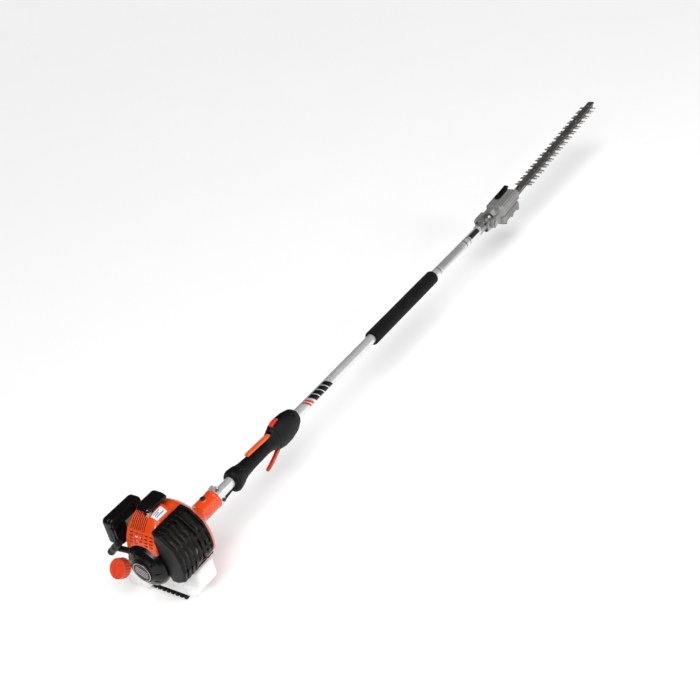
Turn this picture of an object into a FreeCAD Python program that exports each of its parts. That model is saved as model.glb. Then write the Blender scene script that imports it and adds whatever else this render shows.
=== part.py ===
import FreeCAD, Part
import math
import os
from FreeCAD import Placement, Rotation, Vector

# Petrol pole hedge trimmer with an articulating cutter head.
# Frame: origin on the ground face of the tank stand, +X along the pole to the blade, +Y to the
# operator's left, +Z up. Millimetres.

# ---- driving dimensions: engine ----
AXIS_Z = 125.0            # height of crankshaft, drive shaft and pole
CYLINDER_X = -45.0        # cylinder axis, which is vertical
BORE_R = 17.0
STROKE = 28.0
ROD_LENGTH = 52.0
JOURNAL_R = 6.0
WEB_R = 24.0
WEB_W = 6.0
PIN_W = 12.0
CASE_R = 36.0
DECK_Z = 166.0
HEAD_Z = 201.0
FIN_COUNT = 7
STARTER_REAR = -109.0
STARTER_RIM = -80.0
STARTER_R = 48.0
PULLEY_R = 30.0
FLYWHEEL_R = 62.0
VANE_COUNT = 14
DRUM_R = 32.0
NECK_R = 21.0
NECK_END = 117.0
CLAMP_END = 129.0
HOUSING_FLOOR = 58.0
HOUSING_FLAT = 70.0       # from the axis to the flat across the housing's lower right corner
NECK_SCREW_X = 89.0
WALL = 2.5
PORT_Z = 182.0            # intake and exhaust ports, carburetor throat
PLUG_THREAD_R = 5.0
PUMP = Vector(-46, 49, 161)        # foot of the priming pump on the carburetor
PUMP_BORE_R = 9.4
OUTLET_X = -34.0          # exhaust outlet
COVER_FRONT = -18.5
GUARD_REAR = -85.0
GUARD_FRONT = 6.0

# ---- driving dimensions: pole, handle and grip ----
TUBE_R = 12.5
TUBE_BORE_R = 11.0
TUBE_START = 62.0
TUBE_END = 1377.0
SHAFT_R = 4.0
RUN_FIT = 0.05
HANDLE_REAR = 174.0
HANDLE_FRONT = 418.0
GRIP_REAR = 755.0
GRIP_FRONT = 1077.0
GRIP_R = 19.0
CABLE_R = 3.0
TRIGGER_PIVOT = Vector(352, 0, 100)
TRIGGER_PIN_R = 2.0
LOCKOUT_PIVOT = Vector(318, 0, 142.5)

# ---- driving dimensions: cutter head ----
PIVOT_X = 1409.0
HEAD_TILT = 4.0           # the blade points this many degrees above the pole line
SMALL_TEETH = 12
LARGE_TEETH = 24
PIVOT_CONE = 20.0         # cone distance of the gears round the head pivot
DRIVE_CONE = 27.0         # cone distance of the blade drive pair
GEAR_FACE = 7.0
CRANK_X = 110.0           # blade crank, from the head pivot
THROW = 9.5               # half of each blade's stroke
BLADE_TIP = 845.0
BLADE_BODY = 11.0         # half width without teeth
TOOTH_REACH = 28.0        # half width at the tooth tips
TOOTH_FOOT = 8.0          # half length of a tooth where it joins the blade
TOOTH_CREST = 3.2         # half length of a tooth at its tip
FIRST_TOOTH = 266.0
TOOTH_PITCH = 38.6
BLADE_T = 2.4
GAP = 0.3
CASE_HALF = 28.5
BLADE_TOP = -17.5         # top face of the upper blade, from the head pivot
BAR_T = 4.2
BAR_BOLTS = [232 + 116 * i for i in range(6)]
PIVOT_PIN_R = 4.0
SPINDLE_R = 5.0
REAR_APEX = 4.2           # shim that seats the rear pinion in the pivot gear

X_DIR = Vector(1, 0, 0)
Y_DIR = Vector(0, 1, 0)
Z_DIR = Vector(0, 0, 1)
AXIS = Vector(0, 0, AXIS_Z)

# ---- directions and routes ----
GUIDE_DIR = Vector(-0.556, 0.588, 0.588)      # the way the starter rope is pulled
GUIDE_FOOT = Vector(-90, 35, AXIS_Z + 26)
GUIDE_END = GUIDE_FOOT + GUIDE_DIR * 24
NECK_DIR = Vector(-0.8, 0, 0.6)               # fuel filler
NECK_TOP = Vector(-86, 100, 78)
NECK_FOOT = NECK_TOP - NECK_DIR * 44
CABLE_POINTS = [Vector(196, 0, 107), Vector(172, 0, 106), Vector(152, 0, 103), Vector(132, 1, 98.5),
                Vector(112, 3, 98), Vector(92, 4, 101.5)]
GUARD_OUTLINE = [(-35.5, 216.5), (-57, 211), (-84, 186), (-93, 155), (-93, 128), (-84, 104), (-64, 94),
                 (-48, 94), (-40, 120), (-38.5, 150), (-38, 198)]


# ---- shape helpers ----
def block(x0, x1, y0, y1, z0, z1):
    return Part.makeBox(x1 - x0, y1 - y0, z1 - z0, Vector(x0, y0, z0))


def rod(radius, start, end):
    return Part.makeCylinder(radius, (end - start).Length, start, end - start)


def ring(outer, inner, start, end):
    return rod(outer, start, end).cut(rod(inner, start, end))


def on_axis(x):
    """A point on the crankshaft and pole axis."""
    return Vector(x, 0, AXIS_Z)


def face_of(points):
    return Part.Face(Part.makePolygon(points + points[:1]))


def lathe(profile, origin=AXIS, along=X_DIR, out=Z_DIR):
    """Solid of revolution from (distance along the axis, radius) points."""
    points = [origin + along * a + out * r for a, r in profile]
    return face_of(points).revolve(origin, along, 360)


def side_plate(outline, y0, y1):
    """Prism across Y from an outline of (x, z) points."""
    return face_of([Vector(x, y0, z) for x, z in outline]).extrude(Y_DIR * (y1 - y0))


def end_plate(outline, x0, x1):
    """Prism along X from an outline of (y, z) points."""
    return face_of([Vector(x0, y, z) for y, z in outline]).extrude(X_DIR * (x1 - x0))


def flat_plate(outline, z0, z1):
    """Prism along Z from an outline of (x, y) points."""
    return face_of([Vector(x, y, z0) for x, y in outline]).extrude(Z_DIR * (z1 - z0))


def join(shapes):
    return shapes[0].multiFuse(shapes[1:]).removeSplitter()


def carve(shape, cutters):
    return shape.cut(Part.makeCompound(cutters))


def rounded(shape, radius, direction=None):
    """Fillet the straight edges that run along one direction, or every edge."""
    chosen = []
    for edge in shape.Edges:
        if direction is None:
            chosen.append(edge)
        elif isinstance(edge.Curve, Part.Line) and abs(edge.Curve.Direction * direction) > 0.999:
            chosen.append(edge)
    return shape.makeFillet(radius, chosen)


def slot_cutter(x, y, half_length, half_width, z0, z1):
    """Round-ended slot along X, cut through Z."""
    middle = block(x - half_length + half_width, x + half_length - half_width,
                   y - half_width, y + half_width, z0, z1)
    ends = [rod(half_width, Vector(x + s * (half_length - half_width), y, z0),
                Vector(x + s * (half_length - half_width), y, z1)) for s in (-1, 1)]
    return join([middle] + ends)


def in_head(shape):
    """Move a piece from the head's own frame, pivot at its origin, to its place on the pole."""
    placed = shape.copy()
    placed.Placement = Placement(Vector(PIVOT_X, 0, AXIS_Z), Rotation(Y_DIR, -HEAD_TILT))
    return placed


def bevel_gear(teeth, mate_teeth, cone, apex, axis, toward, gap_at_mesh, bore):
    """Straight bevel gear on the `axis` side of its apex, meshing in the `toward` direction."""
    angle = math.atan2(teeth, mate_teeth)
    pitch = 2 * math.pi * cone * math.sin(angle) / teeth
    addendum = 0.22 * pitch
    dedendum = 0.30 * pitch
    side = axis.cross(toward)
    inner = (cone - GEAR_FACE) / cone

    def cone_point(scale, lift):
        return (scale * (cone * math.cos(angle) - lift * math.sin(angle)),
                scale * (cone * math.sin(angle) + lift * math.cos(angle)))

    def tooth_quad(scale, phi):
        corners = []
        foot = -dedendum - 0.3
        for lift, half in ((foot, -0.48), (foot, 0.48), (addendum, 0.2), (addendum, -0.2)):
            along, radius = cone_point(scale, lift)
            turn = phi + half * math.pi / teeth
            corners.append(apex + axis * along + (toward * math.cos(turn) + side * math.sin(turn)) * radius)
        return Part.makePolygon(corners + corners[:1])

    root_in = cone_point(inner, -dedendum)
    root_out = cone_point(1.0, -dedendum)
    back = root_out[0] + 0.8
    profile = [(root_in[0], bore), root_in, root_out, (back, root_out[1]), (back, bore)]
    body = lathe(profile, apex, axis, toward)
    pieces = [body]
    for k in range(teeth):
        phi = 2 * math.pi * (k + (0.5 if gap_at_mesh else 0.0)) / teeth
        pieces.append(Part.makeLoft([tooth_quad(inner, phi), tooth_quad(1.0, phi)], True, True))
    return join(pieces)


def ellipse_wire(x, z, half_width, half_height):
    """Upright ellipse across the pole at x."""
    if half_width >= half_height:
        major, minor, axis = half_width, half_height, Y_DIR
    else:
        major, minor, axis = half_height, half_width, Z_DIR
    centre = Vector(x, 0, z)
    curve = Part.Ellipse(centre + axis * major, centre + X_DIR.cross(axis) * minor, centre)
    return Part.Wire(curve.toShape())


# ---- engine core ----
def crankcase_half(x0, x1, bearing_x0, bearing_x1):
    outer = join([rod(CASE_R, on_axis(x0), on_axis(x1)),
                  block(x0 + 4 if x0 < CYLINDER_X else x0, x1, -24, 24, AXIS_Z, DECK_Z)])
    chamber = rod(WEB_R + 2, on_axis(CYLINDER_X - PIN_W / 2 - WEB_W - 0.6),
                  on_axis(CYLINDER_X + PIN_W / 2 + WEB_W + 0.6))
    throat = rod(BORE_R + 0.3, Vector(CYLINDER_X, 0, AXIS_Z), Vector(CYLINDER_X, 0, DECK_Z))
    seat = rod(13, on_axis(bearing_x0), on_axis(bearing_x1))
    passage = rod(JOURNAL_R + 1, on_axis(x0), on_axis(x1))
    return carve(outer, [chamber, throat, seat, passage])


def crankcase_rear():
    return crankcase_half(-79.5, CYLINDER_X, -66, -57.6)


def crankcase_front():
    return crankcase_half(CYLINDER_X, -20, -32.4, -24)


def crank_bearings():
    seats = ((-66, -57.7), (-32.3, -24))
    rings = [ring(13, JOURNAL_R + RUN_FIT, on_axis(a), on_axis(b)) for a, b in seats]
    return Part.makeCompound(rings)


def cylinder():
    x = CYLINDER_X
    pieces = [rod(19, Vector(x, 0, DECK_Z), Vector(x, 0, HEAD_Z + 1.5)),
              rod(13.5, Vector(x, 0, HEAD_Z), Vector(x, 0, HEAD_Z + 7)),
              block(x - 24, x + 24, -23, 23, DECK_Z, DECK_Z + 3),
              block(x - 14, x + 14, 18, 38, PORT_Z - 10, PORT_Z + 10),
              block(x - 14, x + 14, -38.5, -18, PORT_Z - 10, PORT_Z + 10)]
    for i in range(FIN_COUNT):
        z = DECK_Z + 6 + 4.6 * i
        pieces.append(rounded(block(x - 17, x + 22, -28, 28, z, z + 1.8), 8, Z_DIR))
    plug_hole = rod(PLUG_THREAD_R + 0.1, Vector(x, 0, HEAD_Z - 1), Vector(x, 0, HEAD_Z + 8))
    bore = rod(BORE_R, Vector(x, 0, DECK_Z - 1), Vector(x, 0, HEAD_Z))
    intake = rod(6, Vector(x, 10, PORT_Z), Vector(x, 40, PORT_Z))
    exhaust = rod(7, Vector(x, -39, PORT_Z), Vector(x, -10, PORT_Z))
    return carve(join(pieces), [plug_hole, bore, intake, exhaust])


def crankshaft():
    offset = Vector(0, 0, STROKE / 2)
    half = PIN_W / 2
    x = CYLINDER_X
    pieces = [rod(JOURNAL_R, on_axis(-80), on_axis(x - half)),
              rod(JOURNAL_R, on_axis(x + half), on_axis(22)),
              rod(5, on_axis(x - half) + offset, on_axis(x + half) + offset)]
    for x0 in (x - half - WEB_W, x + half):
        disc = rod(WEB_R, on_axis(x0), on_axis(x0 + WEB_W))
        lightening = [rod(4, on_axis(x0) + Vector(0, s * 15, 8), on_axis(x0 + WEB_W) + Vector(0, s * 15, 8))
                      for s in (-1, 1)]
        pieces.append(carve(disc, lightening))
    return join(pieces)


def piston():
    x = CYLINDER_X
    pin_z = AXIS_Z + STROKE / 2 + ROD_LENGTH
    crown = rod(BORE_R - 0.04, Vector(x, 0, pin_z - 11), Vector(x, 0, pin_z + 9))
    hollow = rod(BORE_R - 3, Vector(x, 0, pin_z - 12), Vector(x, 0, pin_z + 6))
    pin_hole = rod(4, Vector(x - BORE_R, 0, pin_z), Vector(x + BORE_R, 0, pin_z))
    grooves = [ring(BORE_R + 1, BORE_R - 1.2, Vector(x, 0, pin_z + z), Vector(x, 0, pin_z + z + 1.2))
               for z in (4.4, 6.6)]
    return carve(crown, [hollow, pin_hole] + grooves)


def piston_pin():
    z = AXIS_Z + STROKE / 2 + ROD_LENGTH
    return ring(4, 2, Vector(CYLINDER_X - 15, 0, z), Vector(CYLINDER_X + 15, 0, z))


def connecting_rod():
    x = CYLINDER_X
    big = AXIS_Z + STROKE / 2
    small = big + ROD_LENGTH
    pieces = [rod(8.5, Vector(x - 5, 0, big), Vector(x + 5, 0, big)),
              rod(5.8, Vector(x - 5, 0, small), Vector(x + 5, 0, small)),
              block(x - 3, x + 3, -4, 4, big, small)]
    holes = [rod(5 + RUN_FIT, Vector(x - 6, 0, big), Vector(x + 6, 0, big)),
             rod(4 + RUN_FIT, Vector(x - 6, 0, small), Vector(x + 6, 0, small))]
    return carve(join(pieces), holes)


def flywheel():
    disc = ring(FLYWHEEL_R, JOURNAL_R, on_axis(-14), on_axis(-8))
    hub = ring(14, JOURNAL_R, on_axis(-14), on_axis(5))
    vane = block(-9, 5, -1.2, 1.2, AXIS_Z + 38, AXIS_Z + FLYWHEEL_R - 1)
    vanes = []
    for i in range(VANE_COUNT):
        one = vane.copy()
        one.rotate(AXIS, X_DIR, 360.0 * i / VANE_COUNT)
        vanes.append(one)
    return join([disc, hub] + vanes)


def clutch_shoes():
    band = ring(DRUM_R - 3.5, 15, on_axis(9), on_axis(20))
    split = block(8, 21, -1.5, 1.5, AXIS_Z - 40, AXIS_Z + 40)
    shoes = band.cut(split)
    return Part.makeCompound(shoes.Solids)


def clutch_drum():
    wall = ring(DRUM_R, DRUM_R - 2.5, on_axis(8), on_axis(25))
    web = rod(DRUM_R, on_axis(25), on_axis(28))
    hub = rod(9, on_axis(28), on_axis(40))
    socket = rod(SHAFT_R, on_axis(30), on_axis(41))
    return join([wall, web, hub]).cut(socket)


def ignition_coil():
    core = block(-16, -8.5, -14, 14, AXIS_Z + FLYWHEEL_R + 1.5, AXIS_Z + FLYWHEEL_R + 14)
    winding = block(-17, -7.5, -9, 9, AXIS_Z + FLYWHEEL_R + 3, AXIS_Z + FLYWHEEL_R + 17)
    return join([core, rounded(winding, 1.5, X_DIR)])


def spark_plug():
    x = CYLINDER_X
    thread = rod(PLUG_THREAD_R, Vector(x, 0, HEAD_Z), Vector(x, 0, HEAD_Z + 7))
    turns = [math.radians(60 * i) for i in range(6)]
    hexagon = [(x + 9 * math.cos(a), 9 * math.sin(a)) for a in turns]
    nut = flat_plate(hexagon, HEAD_Z + 7, HEAD_Z + 14)
    insulator = Part.makeCone(6, 4, 14, Vector(x, 0, HEAD_Z + 14))
    terminal = rod(3, Vector(x, 0, HEAD_Z + 28), Vector(x, 0, HEAD_Z + 31))
    return join([thread, nut, insulator, terminal])


# ---- covers and housings ----
def fan_housing_profile(grow):
    """Outside of the fan housing as (x, radius) points, from its rim to the neck."""
    shape = [(-18, 88), (0, 88), (12, 85), (22, 77), (32, 63), (42, 47), (50, 35), (58, 26), (66, NECK_R)]
    return [(x, radius + grow) for x, radius in shape]


def beyond_flat(distance):
    """All that lies past a flat at this distance from the axis, toward the lower right."""
    corner = block(-120, 120, -150, 150, AXIS_Z + distance, AXIS_Z + distance + 100)
    corner.rotate(AXIS, X_DIR, 135)
    return corner


def housing_space(grow):
    """Space that the fan housing fills, flat underneath, grown all round."""
    body = lathe([(-40, 0), (-40, 88 + grow)] + fan_housing_profile(grow) + [(66, 0)])
    body = body.common(block(-41, 70, -120, 120, HOUSING_FLOOR - grow, 240))
    return body.cut(beyond_flat(HOUSING_FLAT + grow))


def fan_housing():
    outer = lathe(fan_housing_profile(0) + [(NECK_END, NECK_R), (NECK_END, 0), (-18, 0)])
    outer = outer.common(block(-20, 120, -120, 120, HOUSING_FLOOR, 240)).cut(beyond_flat(HOUSING_FLAT))
    room = lathe([(30, 0), (30, 62), (21, 73), (11, 81.5), (0, 85), (-19, 85), (-19, 0)])
    room = room.common(block(-20, 120, -120, 120, HOUSING_FLOOR + WALL, 240))
    room = room.cut(beyond_flat(HOUSING_FLAT - WALL))
    shaft_way = rod(10.5, on_axis(25), on_axis(TUBE_START + 1))
    tube_seat = rod(TUBE_R, on_axis(TUBE_START), on_axis(NECK_END + 1))
    boss = rod(7, Vector(NECK_SCREW_X, 0, AXIS_Z + 15), Vector(NECK_SCREW_X, 0, AXIS_Z + NECK_R + 1))
    screw_well = rod(3.2, Vector(NECK_SCREW_X, 0, AXIS_Z + 5), Vector(NECK_SCREW_X, 0, AXIS_Z + NECK_R + 2))
    return carve(join([outer, boss]), [room, shaft_way, tube_seat, screw_well])


def cover_side(inset):
    """Side outline of the engine cover: upright at the back, then rolling over to the top."""
    i = inset
    return [(-92 + i, 138), (-92 + i, 163), (-87 + i, 184 - i * 0.2), (-77 + i, 202 - i * 0.4),
            (-63 + i, 216 - i * 0.6), (-48 + i, 226 - i), (-34, 229 - i), (COVER_FRONT, 228 - i),
            (COVER_FRONT, 138)]


def cover_louvres():
    """Short slots below the upright ones, where the panel clears the starter."""
    cutters = []
    for row in range(8):
        z = 152 + 6.2 * row
        for y in (-26, -13, 0, 13, 26):
            if math.hypot(y, z - AXIS_Z) > STARTER_R + 5:
                cutters.append(block(-94, -74, y - 4.4, y + 4.4, z - 1.2, z + 1.2))
    return cutters


def cylinder_cover():
    section = [(-36, 138), (-36, 202), (-30, 216), (-16, 226), (0, 229), (20, 229), (33, 222), (40, 204),
               (43, 150), (40, 138)]
    inner_section = [(y - math.copysign(WALL, y), z - (WALL if z > 200 else 0)) for y, z in section]
    outer = side_plate(cover_side(0), -40, 50).common(end_plate(section, -93, -18))
    inner = side_plate(cover_side(WALL), -40, 50).common(end_plate(inner_section, -93, -18))
    inner = inner.fuse(block(-77, -18, -33, 36, 130, 150))
    cutters = [inner,
               rod(STARTER_R + 0.8, on_axis(-95), on_axis(STARTER_RIM)),
               rod(CASE_R + 1, on_axis(STARTER_RIM - 1), on_axis(-70)),
               rod(6.6, GUIDE_FOOT, GUIDE_END),
               rod(10, Vector(CYLINDER_X, 0, 215), Vector(CYLINDER_X, 0, 235)),
               block(-66, -24, 30, 50, 130, 196),
               block(-66, -24, -50, -30, 130, 197)]
    for i in range(8):
        y = 28 - 4.8 * i
        cutters.append(block(-95, -44, y - 1.1, y + 1.1, 200, 223.5))
    return carve(outer, cutters + cover_louvres())


def plug_cover():
    outline = [(-12, 229.3), (-11, 235), (0, 240), (18, 241.5), (25, 237), (28, 229.3)]
    outer = end_plate(outline, -57, 0)
    hollow = rod(8, Vector(CYLINDER_X, 0, 228), Vector(CYLINDER_X, 0, 234))
    grooves = [block(x, x + 2, -30, 45, 239, 250) for x in range(-49, -1, 8)]
    return carve(outer, [hollow] + grooves)


def starter_housing():
    rim = STARTER_RIM - 0.3
    outer = [(STARTER_REAR, 0), (STARTER_REAR, 25), (-106, 29), (-102, 37), (-96, 44), (-89, STARTER_R),
             (rim, STARTER_R)]
    inner = [(rim, STARTER_R - WALL), (-88, STARTER_R - WALL), (-94, 41.5), (-100, 34.5), (-102, 31),
             (-102, 5), (-83, 5), (-83, 0)]
    body = lathe(outer + inner)
    guide = rod(6, GUIDE_FOOT, GUIDE_END)
    bore = rod(2.6, GUIDE_FOOT - GUIDE_DIR * 6, GUIDE_END + GUIDE_DIR)
    vents = []
    for i in range(10):
        vent = block(STARTER_REAR - 2, -90, -2, 2, AXIS_Z + 31, AXIS_Z + 42)
        vent.rotate(AXIS, X_DIR, 36.0 * i + 18)
        vents.append(vent)
    inside = lathe([(rim + 1, 0)] + [(x, r) for x, r in inner if r > 5] + [(-102, 0)])
    return join([body, guide.cut(inside)]).cut(bore)


def starter_pulley():
    body = ring(PULLEY_R, 5 + RUN_FIT, on_axis(-97), on_axis(-88))
    groove = ring(PULLEY_R + 1, PULLEY_R - 7, on_axis(-95), on_axis(-90))
    return body.cut(groove)


def starter_grip():
    rope = rod(2, GUIDE_FOOT + GUIDE_DIR * 2, GUIDE_END + GUIDE_DIR * 6)
    across = Vector(0, 1, -1).normalize()
    centre = GUIDE_END + GUIDE_DIR * 8
    bar = rounded(rod(8, centre - across * 27, centre + across * 27), 5)
    stem = Part.makeCone(5.5, 7, 6, GUIDE_END + GUIDE_DIR * 0.4, GUIDE_DIR)
    return join([bar, rope, stem])


def muffler():
    can = rounded(block(-74, -21, -70, -38.5, 110, 190), 7)
    outlet = rod(6, Vector(OUTLET_X, -70, 118), Vector(OUTLET_X, -84, 112))
    port = rod(6, Vector(CYLINDER_X, -50, 180), Vector(CYLINDER_X, -38, 180))
    return join([can, outlet]).cut(port)


def muffler_guard():
    outer = end_plate(GUARD_OUTLINE, GUARD_REAR, GUARD_FRONT)
    inner_outline = [(-32, 213.9), (-56, 208.3), (-81.8, 184.6), (-90.4, 154.6), (-90.4, 128.6),
                     (-82.2, 106.2), (-63.4, 96.5), (-46, 96.5), (-37, 120), (-32, 198)]
    inner = end_plate(inner_outline, GUARD_REAR + WALL, GUARD_FRONT - WALL)
    starter = rod(STARTER_R + 1, on_axis(-90), on_axis(-79))
    outlet = rod(8, Vector(OUTLET_X, -70, 118), Vector(OUTLET_X, -100, 105))
    rows = [(-95, -88, 132, 152), (-95, -84, 158, 176), (-82, -60, 188, 204)]
    slots = [block(x - 2.2, x + 2.2, y0, y1, z0, z1) for x in range(-75, 9, 12) for y0, y1, z0, z1 in rows]
    return carve(outer, [inner, housing_space(0.8), starter, outlet] + slots)


def carburetor():
    body = rounded(block(-62, -30, 38.3, 60, 166, 196), 3, Y_DIR)
    throat = rod(6, Vector(CYLINDER_X, 37, PORT_Z), Vector(CYLINDER_X, 62, PORT_Z))
    pump = ring(11, PUMP_BORE_R, PUMP, PUMP + Z_DIR * 5.5)
    idle_screw = rod(2.5, Vector(-70, 50, 176), Vector(-62, 50, 176))
    return join([body, pump, idle_screw]).cut(throat)


def air_filter_base():
    plate = rounded(block(-90, -22, 60.3, 65, 154, 214), 12, Y_DIR)
    throat = rod(7, Vector(CYLINDER_X, 59, PORT_Z), Vector(CYLINDER_X, 66, PORT_Z))
    return plate.cut(throat)


def air_filter_element():
    return rounded(block(-80, -30, 65.5, 82, 162, 206), 8, Y_DIR)


def air_filter_cover():
    outer = rounded(block(-92, -4, 65.3, 94, 152, 216), 13, Y_DIR)
    outer = outer.makeFillet(8, [e for e in outer.Edges if min(v.Point.y for v in e.Vertexes) > 93.9])
    inner = rounded(block(-89, -22, 60, 90, 155, 213), 11, Y_DIR)
    return carve(outer, [inner, housing_space(1)])


def choke_lever():
    pivot = rod(3, Vector(-70, 54, 204), Vector(-70, 59.8, 204))
    arm = block(-98, -68, 55, 58, 202, 206)
    paddle = block(-101, -96, 54, 60, 199, 209)
    return join([pivot, arm, paddle])


def primer_bulb():
    return Part.makeSphere(PUMP_BORE_R - 0.4, PUMP - Z_DIR * 0.6, Z_DIR, -90, 0, 360)


def tank_form(inset):
    """Tank body, filler shoulder at the rear left and a wing up the right side, shrunk by the inset."""
    i = inset
    main = rounded(block(-52 + i, 12 - i, -53 + i, 84 - i, 9 + i, 84 - i), 22 - i, Z_DIR)
    main = main.makeFillet(16 - i, [e for e in main.Edges if max(v.Point.z for v in e.Vertexes) < 9.1 + i])
    shoulder = rounded(block(-68 + i, -24 - i, 58 + i, 118 - i, 12 + i, 70 - i), 12 - i)
    wing = rounded(block(-46 + i, 10 - i, -76 + i, -34 - i, 38 + i, 92 - i), 12 - i)
    return join([main, shoulder, wing])


def fuel_tank():
    outside = join([tank_form(0), rod(16, NECK_FOOT, NECK_TOP)])
    outside = carve(outside, [housing_space(1), rod(CASE_R + 1, on_axis(-82), on_axis(-18))])
    room = join([tank_form(WALL), rod(13, NECK_FOOT, NECK_TOP + NECK_DIR * 2)])
    room = carve(room, [housing_space(1 + WALL), rod(CASE_R + 1 + WALL, on_axis(-82), on_axis(-14))])
    return outside.cut(room)


def fuel_cap():
    bottom = NECK_TOP - NECK_DIR * 12
    top = NECK_TOP + NECK_DIR * 7
    body = rod(21.5, bottom, top).cut(rod(16.3, bottom - NECK_DIR, NECK_TOP + NECK_DIR * 2.4))
    grooves = []
    for i in range(24):
        groove = rod(1.6, bottom + Y_DIR * 21.8, top + Y_DIR * 21.8)
        groove.rotate(NECK_TOP, NECK_DIR, 15.0 * i)
        grooves.append(groove)
    return carve(body, grooves)


def tank_stand():
    plate = rounded(block(-45, 14, -22, 82, 0, 5), 8, Z_DIR)
    treads = [block(-48, -40, y, y + 8, 0, 9) for y in range(-22, 86, 12)]
    pads = [block(x, x + 6, y, y + 26, 5, 9) for x in (-30, 4) for y in (-20, 45)]
    return join([plate] + treads + pads).cut(fuel_tank())


# ---- pole ----
def clamp_ring():
    body = rod(NECK_R + 0.8, on_axis(NECK_END), on_axis(CLAMP_END))
    ears = block(NECK_END, CLAMP_END, -8, 8, AXIS_Z + 16, AXIS_Z + 25)
    split = block(NECK_END - 1, CLAMP_END + 1, -1, 1, AXIS_Z, AXIS_Z + 40)
    tube = rod(TUBE_R, on_axis(NECK_END - 1), on_axis(CLAMP_END + 1))
    return carve(join([body, ears]), [split, tube, clamp_screws(), throttle_cable()])


def hex_screw(position, direction, head_r, head_l, shank_r, shank_l):
    head = rod(head_r, position, position + direction * head_l)
    shank = rod(shank_r, position - direction * shank_l, position + direction * 0.1)
    socket = rod(head_r * 0.5, position + direction * head_l * 0.5, position + direction * (head_l + 1))
    return join([head, shank]).cut(socket)


def clamp_screws():
    x = (NECK_END + CLAMP_END) / 2
    across = hex_screw(Vector(x, -8.2, AXIS_Z + 20), -Y_DIR, 4, 3.6, 2.4, 16)
    top = hex_screw(Vector(NECK_SCREW_X, 0, AXIS_Z + NECK_R + 1.2), Z_DIR, 6, 2.4, 3, 8.6)
    sides = [hex_screw(Vector(x, s * (NECK_R + 1), AXIS_Z), Y_DIR * s, 4, 3.6, 2.4, 6) for s in (-1, 1)]
    return Part.makeCompound([across, top] + sides)


def outer_tube():
    return ring(TUBE_R, TUBE_BORE_R, on_axis(TUBE_START), on_axis(TUBE_END))


def shaft_bushings():
    spots = range(120, 1560, 240)
    return Part.makeCompound([ring(TUBE_BORE_R, SHAFT_R + RUN_FIT, on_axis(x), on_axis(x + 22)) for x in spots])


def drive_shaft():
    return rod(SHAFT_R, on_axis(30.2), on_axis(PIVOT_X - 11))


def handle_body():
    stations = [(HANDLE_REAR, -3, 20, 24), (183, -3.5, 23, 28), (197, -3, 20.5, 26), (216, -1.5, 17, 18.5),
                (245, -1.5, 16.5, 15.5), (298, -1.5, 16.5, 15.5), (316, -1, 17, 21), (334, 0, 19.5, 34),
                (356, -1, 21, 39), (380, -2, 21, 38), (404, -2, 19, 31), (HANDLE_FRONT, -1, 15, 19)]
    return Part.makeLoft([ellipse_wire(x, AXIS_Z + dz, w, h) for x, dz, w, h in stations], True, False)


def handle_cutters():
    return [rod(TUBE_R, on_axis(HANDLE_REAR - 5), on_axis(HANDLE_FRONT + 5)),
            block(234, 323, -6.8, 6.8, 138.2, 175),
            block(331, 367, -5.6, 5.6, 150, 175),
            block(318, 364, -6, 6, 80, 110),
            throttle_cable(),
            trigger_pin()]


def handle_left():
    half = handle_body().common(block(150, 420, 0, 60, 0, 250))
    return carve(half, handle_cutters())


def handle_right():
    half = handle_body().common(block(150, 420, -60, -0.02, 0, 250))
    return carve(half, handle_cutters() + [handle_screws()])


def handle_screws():
    spots = [(192, 104), (200, 140), (396, 146), (396, 104)]
    return Part.makeCompound([rod(2.6, Vector(x, -12, z), Vector(x, -4, z)) for x, z in spots])


def throttle_trigger():
    outline = [(352, 103.5), (346, 104), (338, 96), (318, 84), (300, 75), (288, 71), (286.5, 66), (296, 67),
               (312, 73), (330, 82), (346, 92), (356, 98)]
    blade = side_plate(outline, -4.5, 4.5)
    return blade.cut(rod(TRIGGER_PIN_R + RUN_FIT, TRIGGER_PIVOT - Y_DIR * 10, TRIGGER_PIVOT + Y_DIR * 10))


def trigger_pin():
    return rod(TRIGGER_PIN_R, TRIGGER_PIVOT - Y_DIR * 14, TRIGGER_PIVOT + Y_DIR * 14)


def throttle_lockout():
    outline = [(318, 139.1), (318, 145.9), (298, 147.5), (246, 149.1), (239, 147.5), (238, 144.1)]
    barrel = rod(3.4, LOCKOUT_PIVOT - Y_DIR * 6, LOCKOUT_PIVOT + Y_DIR * 6)
    return join([side_plate(outline, -6, 6), barrel])


def stop_switch():
    body = rounded(block(333, 357, -5, 5, 152, 163.5), 1.5, Z_DIR)
    ribs = [block(336 + 4 * i, 338 + 4 * i, -5, 5, 162.5, 164.5) for i in range(5)]
    return join([body] + ribs)


def cable_path(points):
    """Wire of straight runs joined by tangent arcs."""
    edges = []
    start = points[0]
    for before, corner, after in zip(points, points[1:], points[2:]):
        into = (corner - before).normalize()
        out = (after - corner).normalize()
        turn = math.acos(max(-1, min(1, into * out)))
        trim = 0.45 * min((corner - before).Length, (after - corner).Length)
        radius = trim / math.tan(turn / 2)
        first = corner - into * trim
        last = corner + out * trim
        middle = corner + (out - into).normalize() * (radius / math.cos(turn / 2) - radius)
        edges.append(Part.makeLine(start, first))
        edges.append(Part.Arc(first, middle, last).toShape())
        start = last
    edges.append(Part.makeLine(start, points[-1]))
    return Part.Wire(edges)


def throttle_cable():
    wire = cable_path(CABLE_POINTS)
    first = (CABLE_POINTS[1] - CABLE_POINTS[0]).normalize()
    circle = Part.Wire(Part.Circle(CABLE_POINTS[0], first, CABLE_R).toShape())
    cable = wire.makePipeShell([circle], True, False)
    return cable.cut(rod(NECK_R + 0.1, on_axis(50), on_axis(NECK_END)))


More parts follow.
